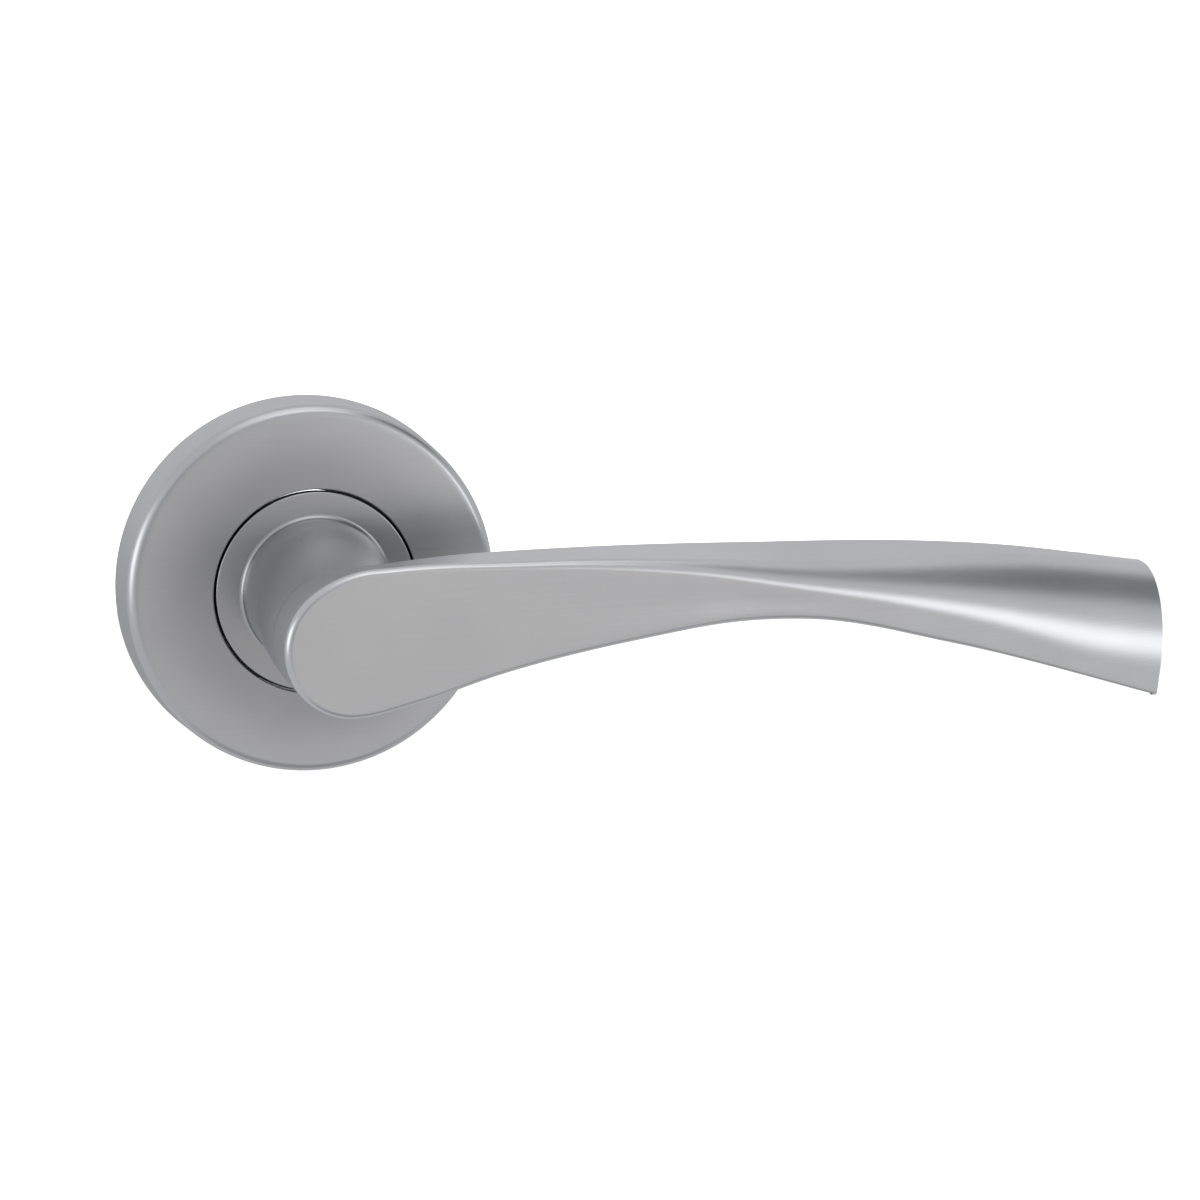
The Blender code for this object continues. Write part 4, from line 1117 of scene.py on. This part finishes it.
def rose(mat):
    """Drawn sheet cup with a softly domed face, a rolled edge and a clean hole."""
    face_radius = ROSE_RADIUS - ROSE_DRAFT
    rim_out = ROSE_OUT - ROSE_DOME
    edge_centre = (face_radius - ROSE_EDGE_RADIUS, rim_out - ROSE_EDGE_RADIUS)
    inner_edge = face_radius - ROSE_SHEET
    profile = [
        (ROSE_RADIUS - ROSE_SHEET, 0),
        (ROSE_RADIUS - ROSE_FOOT, 0),
        (ROSE_RADIUS - ROSE_FOOT_STEP, ROSE_FOOT),
    ]
    profile += arc(edge_centre, ROSE_EDGE_RADIUS, math.radians(4), math.radians(84), ROSE_EDGE_STEPS)
    for step in range(1, ROSE_DOME_STEPS + 1):
        share = step / ROSE_DOME_STEPS
        radius = edge_centre[0] + (ROSE_HOLE_RADIUS + HOLE_EDGE - edge_centre[0]) * share
        profile.append((radius, rim_out + ROSE_DOME * share))
    hole_centre = (ROSE_HOLE_RADIUS + HOLE_EDGE, ROSE_OUT - HOLE_EDGE)
    profile += arc(hole_centre, HOLE_EDGE, math.pi / 2, math.pi, 5)
    profile += [
        (ROSE_HOLE_RADIUS, ROSE_OUT - ROSE_SHEET),
        (inner_edge - ROSE_INNER_BEVEL, rim_out - ROSE_SHEET),
        (inner_edge, rim_out - ROSE_SHEET - ROSE_INNER_BEVEL),
    ]
    points, faces = turned(profile, FINE_ROUND)
    mesh_piece("rose", points, faces, mat, "cover", "rose_cover", "rose_steel")


# Surroundings


# Soft panels around the handle: azimuth, elevation, widths along x, y and z, strength.
PANELS = (
    (-76, 6, (0.40, 0.60, 0.36), 1.25),
    (38, 4, (0.36, 0.36, 0.20), 1.3),
    (13, 47, (0.36, 0.36, 0.17), 0.9),
    (15, 72, (0.55, 0.60, 0.40), 0.50),
)
DARK_CARDS = (
    (68, 40, (0.46, 0.55, 0.30), 0.74),
    (-14, 4, (0.42, 0.42, 0.60), 0.32),
    (12, -62, (0.70, 0.70, 0.45), 0.38),
    (170, -20, (1.2, 0.6, 0.7), 0.35),
)
BASE_LIGHT = 0.69
COOL_TINT = (0.972, 0.992, 1.022)
WARM_TINT = (1.016, 0.992, 0.990)
WARM_PLACE = (13, -10, (0.34, 0.34, 0.30))
PATCH_CORE = 0.35  # share of a panel or card that has its full strength
WHITE_BACKDROP = 20.0
BRIGHTEST = 2.0
FLOOR_HALF_WIDTH = 2.0
FLOOR_HEIGHT = -0.40


def world():
    """Even studio surroundings with soft bright panels and dark cards."""
    scene_world = bpy.data.worlds.new("studio")
    bpy.context.scene.world = scene_world
    scene_world.use_nodes = True
    nodes = scene_world.node_tree.nodes
    links = scene_world.node_tree.links
    background = nodes["Background"]
    coordinates = nodes.new("ShaderNodeTexCoord")

    def patch(azimuth, elevation, widths):
        """How much a direction is inside a soft edged patch, from 0 to 1."""
        offset = nodes.new("ShaderNodeVectorMath")
        offset.operation = "SUBTRACT"
        offset.inputs[1].default_value = direction(azimuth, elevation)
        links.new(coordinates.outputs["Generated"], offset.inputs[0])
        scaled = nodes.new("ShaderNodeVectorMath")
        scaled.operation = "DIVIDE"
        scaled.inputs[1].default_value = widths
        links.new(offset.outputs["Vector"], scaled.inputs[0])
        length = nodes.new("ShaderNodeVectorMath")
        length.operation = "LENGTH"
        links.new(scaled.outputs["Vector"], length.inputs[0])
        fade = nodes.new("ShaderNodeMapRange")
        fade.interpolation_type = "SMOOTHSTEP"
        fade.inputs["From Min"].default_value = 1.0
        fade.inputs["From Max"].default_value = PATCH_CORE
        links.new(length.outputs["Value"], fade.inputs["Value"])
        return fade.outputs["Result"]

    def arithmetic(operation, first, second):
        """One operation on two values, each a number or a node's output."""
        node = nodes.new("ShaderNodeMath")
        node.operation = operation
        for number, value in enumerate((first, second)):
            if isinstance(value, float):
                node.inputs[number].default_value = value
            else:
                links.new(value, node.inputs[number])
        return node.outputs["Value"]

    light = BASE_LIGHT
    for azimuth, elevation, widths, strength in PANELS:
        added = arithmetic("MULTIPLY", patch(azimuth, elevation, widths), strength)
        light = arithmetic("ADD", added, light)
    for azimuth, elevation, widths, strength in DARK_CARDS:
        taken = arithmetic("MULTIPLY", patch(azimuth, elevation, widths), strength)
        light = arithmetic("MULTIPLY", light, arithmetic("SUBTRACT", 1.0, taken))
    path = nodes.new("ShaderNodeLightPath")
    backdrop = arithmetic("MULTIPLY", path.outputs["Is Camera Ray"], WHITE_BACKDROP)
    seen = arithmetic("MAXIMUM", light, backdrop)
    scale = nodes.new("ShaderNodeVectorMath")
    scale.operation = "SCALE"
    tint = colour_between(nodes, links, patch(*WARM_PLACE), COOL_TINT, WARM_TINT)
    links.new(tint, scale.inputs[0])
    links.new(arithmetic("MINIMUM", seen, BRIGHTEST), scale.inputs["Scale"])
    links.new(scale.outputs["Vector"], background.inputs["Color"])
    bpy.context.scene.view_settings.view_transform = "Standard"


def floor():
    """A wide pale floor under the handle, which the steel doesn't reflect."""
    corners = ((-1, -1), (1, -1), (1, 1), (-1, 1))
    points = [(x * FLOOR_HALF_WIDTH, y * FLOOR_HALF_WIDTH, FLOOR_HEIGHT) for x, y in corners]
    mesh = bpy.data.meshes.new("floor")
    mesh.from_pydata(points, [], [(0, 1, 2, 3)])
    obj = bpy.data.objects.new("floor", mesh)
    bpy.context.scene.collection.objects.link(obj)
    mat, nodes, links, shader = new_material("floor")
    shader.inputs["Base Color"].default_value = (0.9, 0.9, 0.9, 1)
    shader.inputs["Roughness"].default_value = 0.9
    shader.inputs["Emission Color"].default_value = (1, 1, 1, 1)
    shader.inputs["Emission Strength"].default_value = 0.45
    mesh.materials.append(mat)
    obj.visible_glossy = False


camera()
world()
floor()

satin_steel = brushed_steel(
    "satin_steel", (60, 5200, 5200), (0.54, 0.54, 0.55), (0.69, 0.69, 0.69), (0.22, 0.30), painted_shade_by_depth
)
rose_steel = brushed_steel(
    "rose_steel", (90, 90, 5200), (0.48, 0.48, 0.49), (0.64, 0.64, 0.648), (0.24, 0.34), painted_shade_by_radius
)
zinc = zinc_plating("zinc_plating")
wire = spring_steel("spring_steel")
bright = turned_steel("turned_steel")

lever(satin_steel)
spindle(zinc)
grub_screw(black_oxide("black_oxide"))
circlip(wire)
ring_piece("washer", "thrust_washer", bright, "lever", "bright_steel")
bush(moulded_nylon("moulded_nylon"))
return_spring(wire)
ring_piece("snap_ring", "cover_snap_ring", wire, "base", "spring_steel", SNAP_RING_OPENING)
for side in ("upper", "lower"):
    mounting_post(f"post_{side}", f"mounting_post_{side}", zinc)
    finish_node(f"stop_pin_{side}", bright, PIN_BEVEL)
for place in ("upper_left", "upper_right", "lower_left", "lower_right"):
    wood_screw(f"screw_{place}", f"wood_screw_{place}", zinc)
finish_node("base_plate", cast_zinc("cast_zinc"), PLATE_BEVEL)
rose(rose_steel)
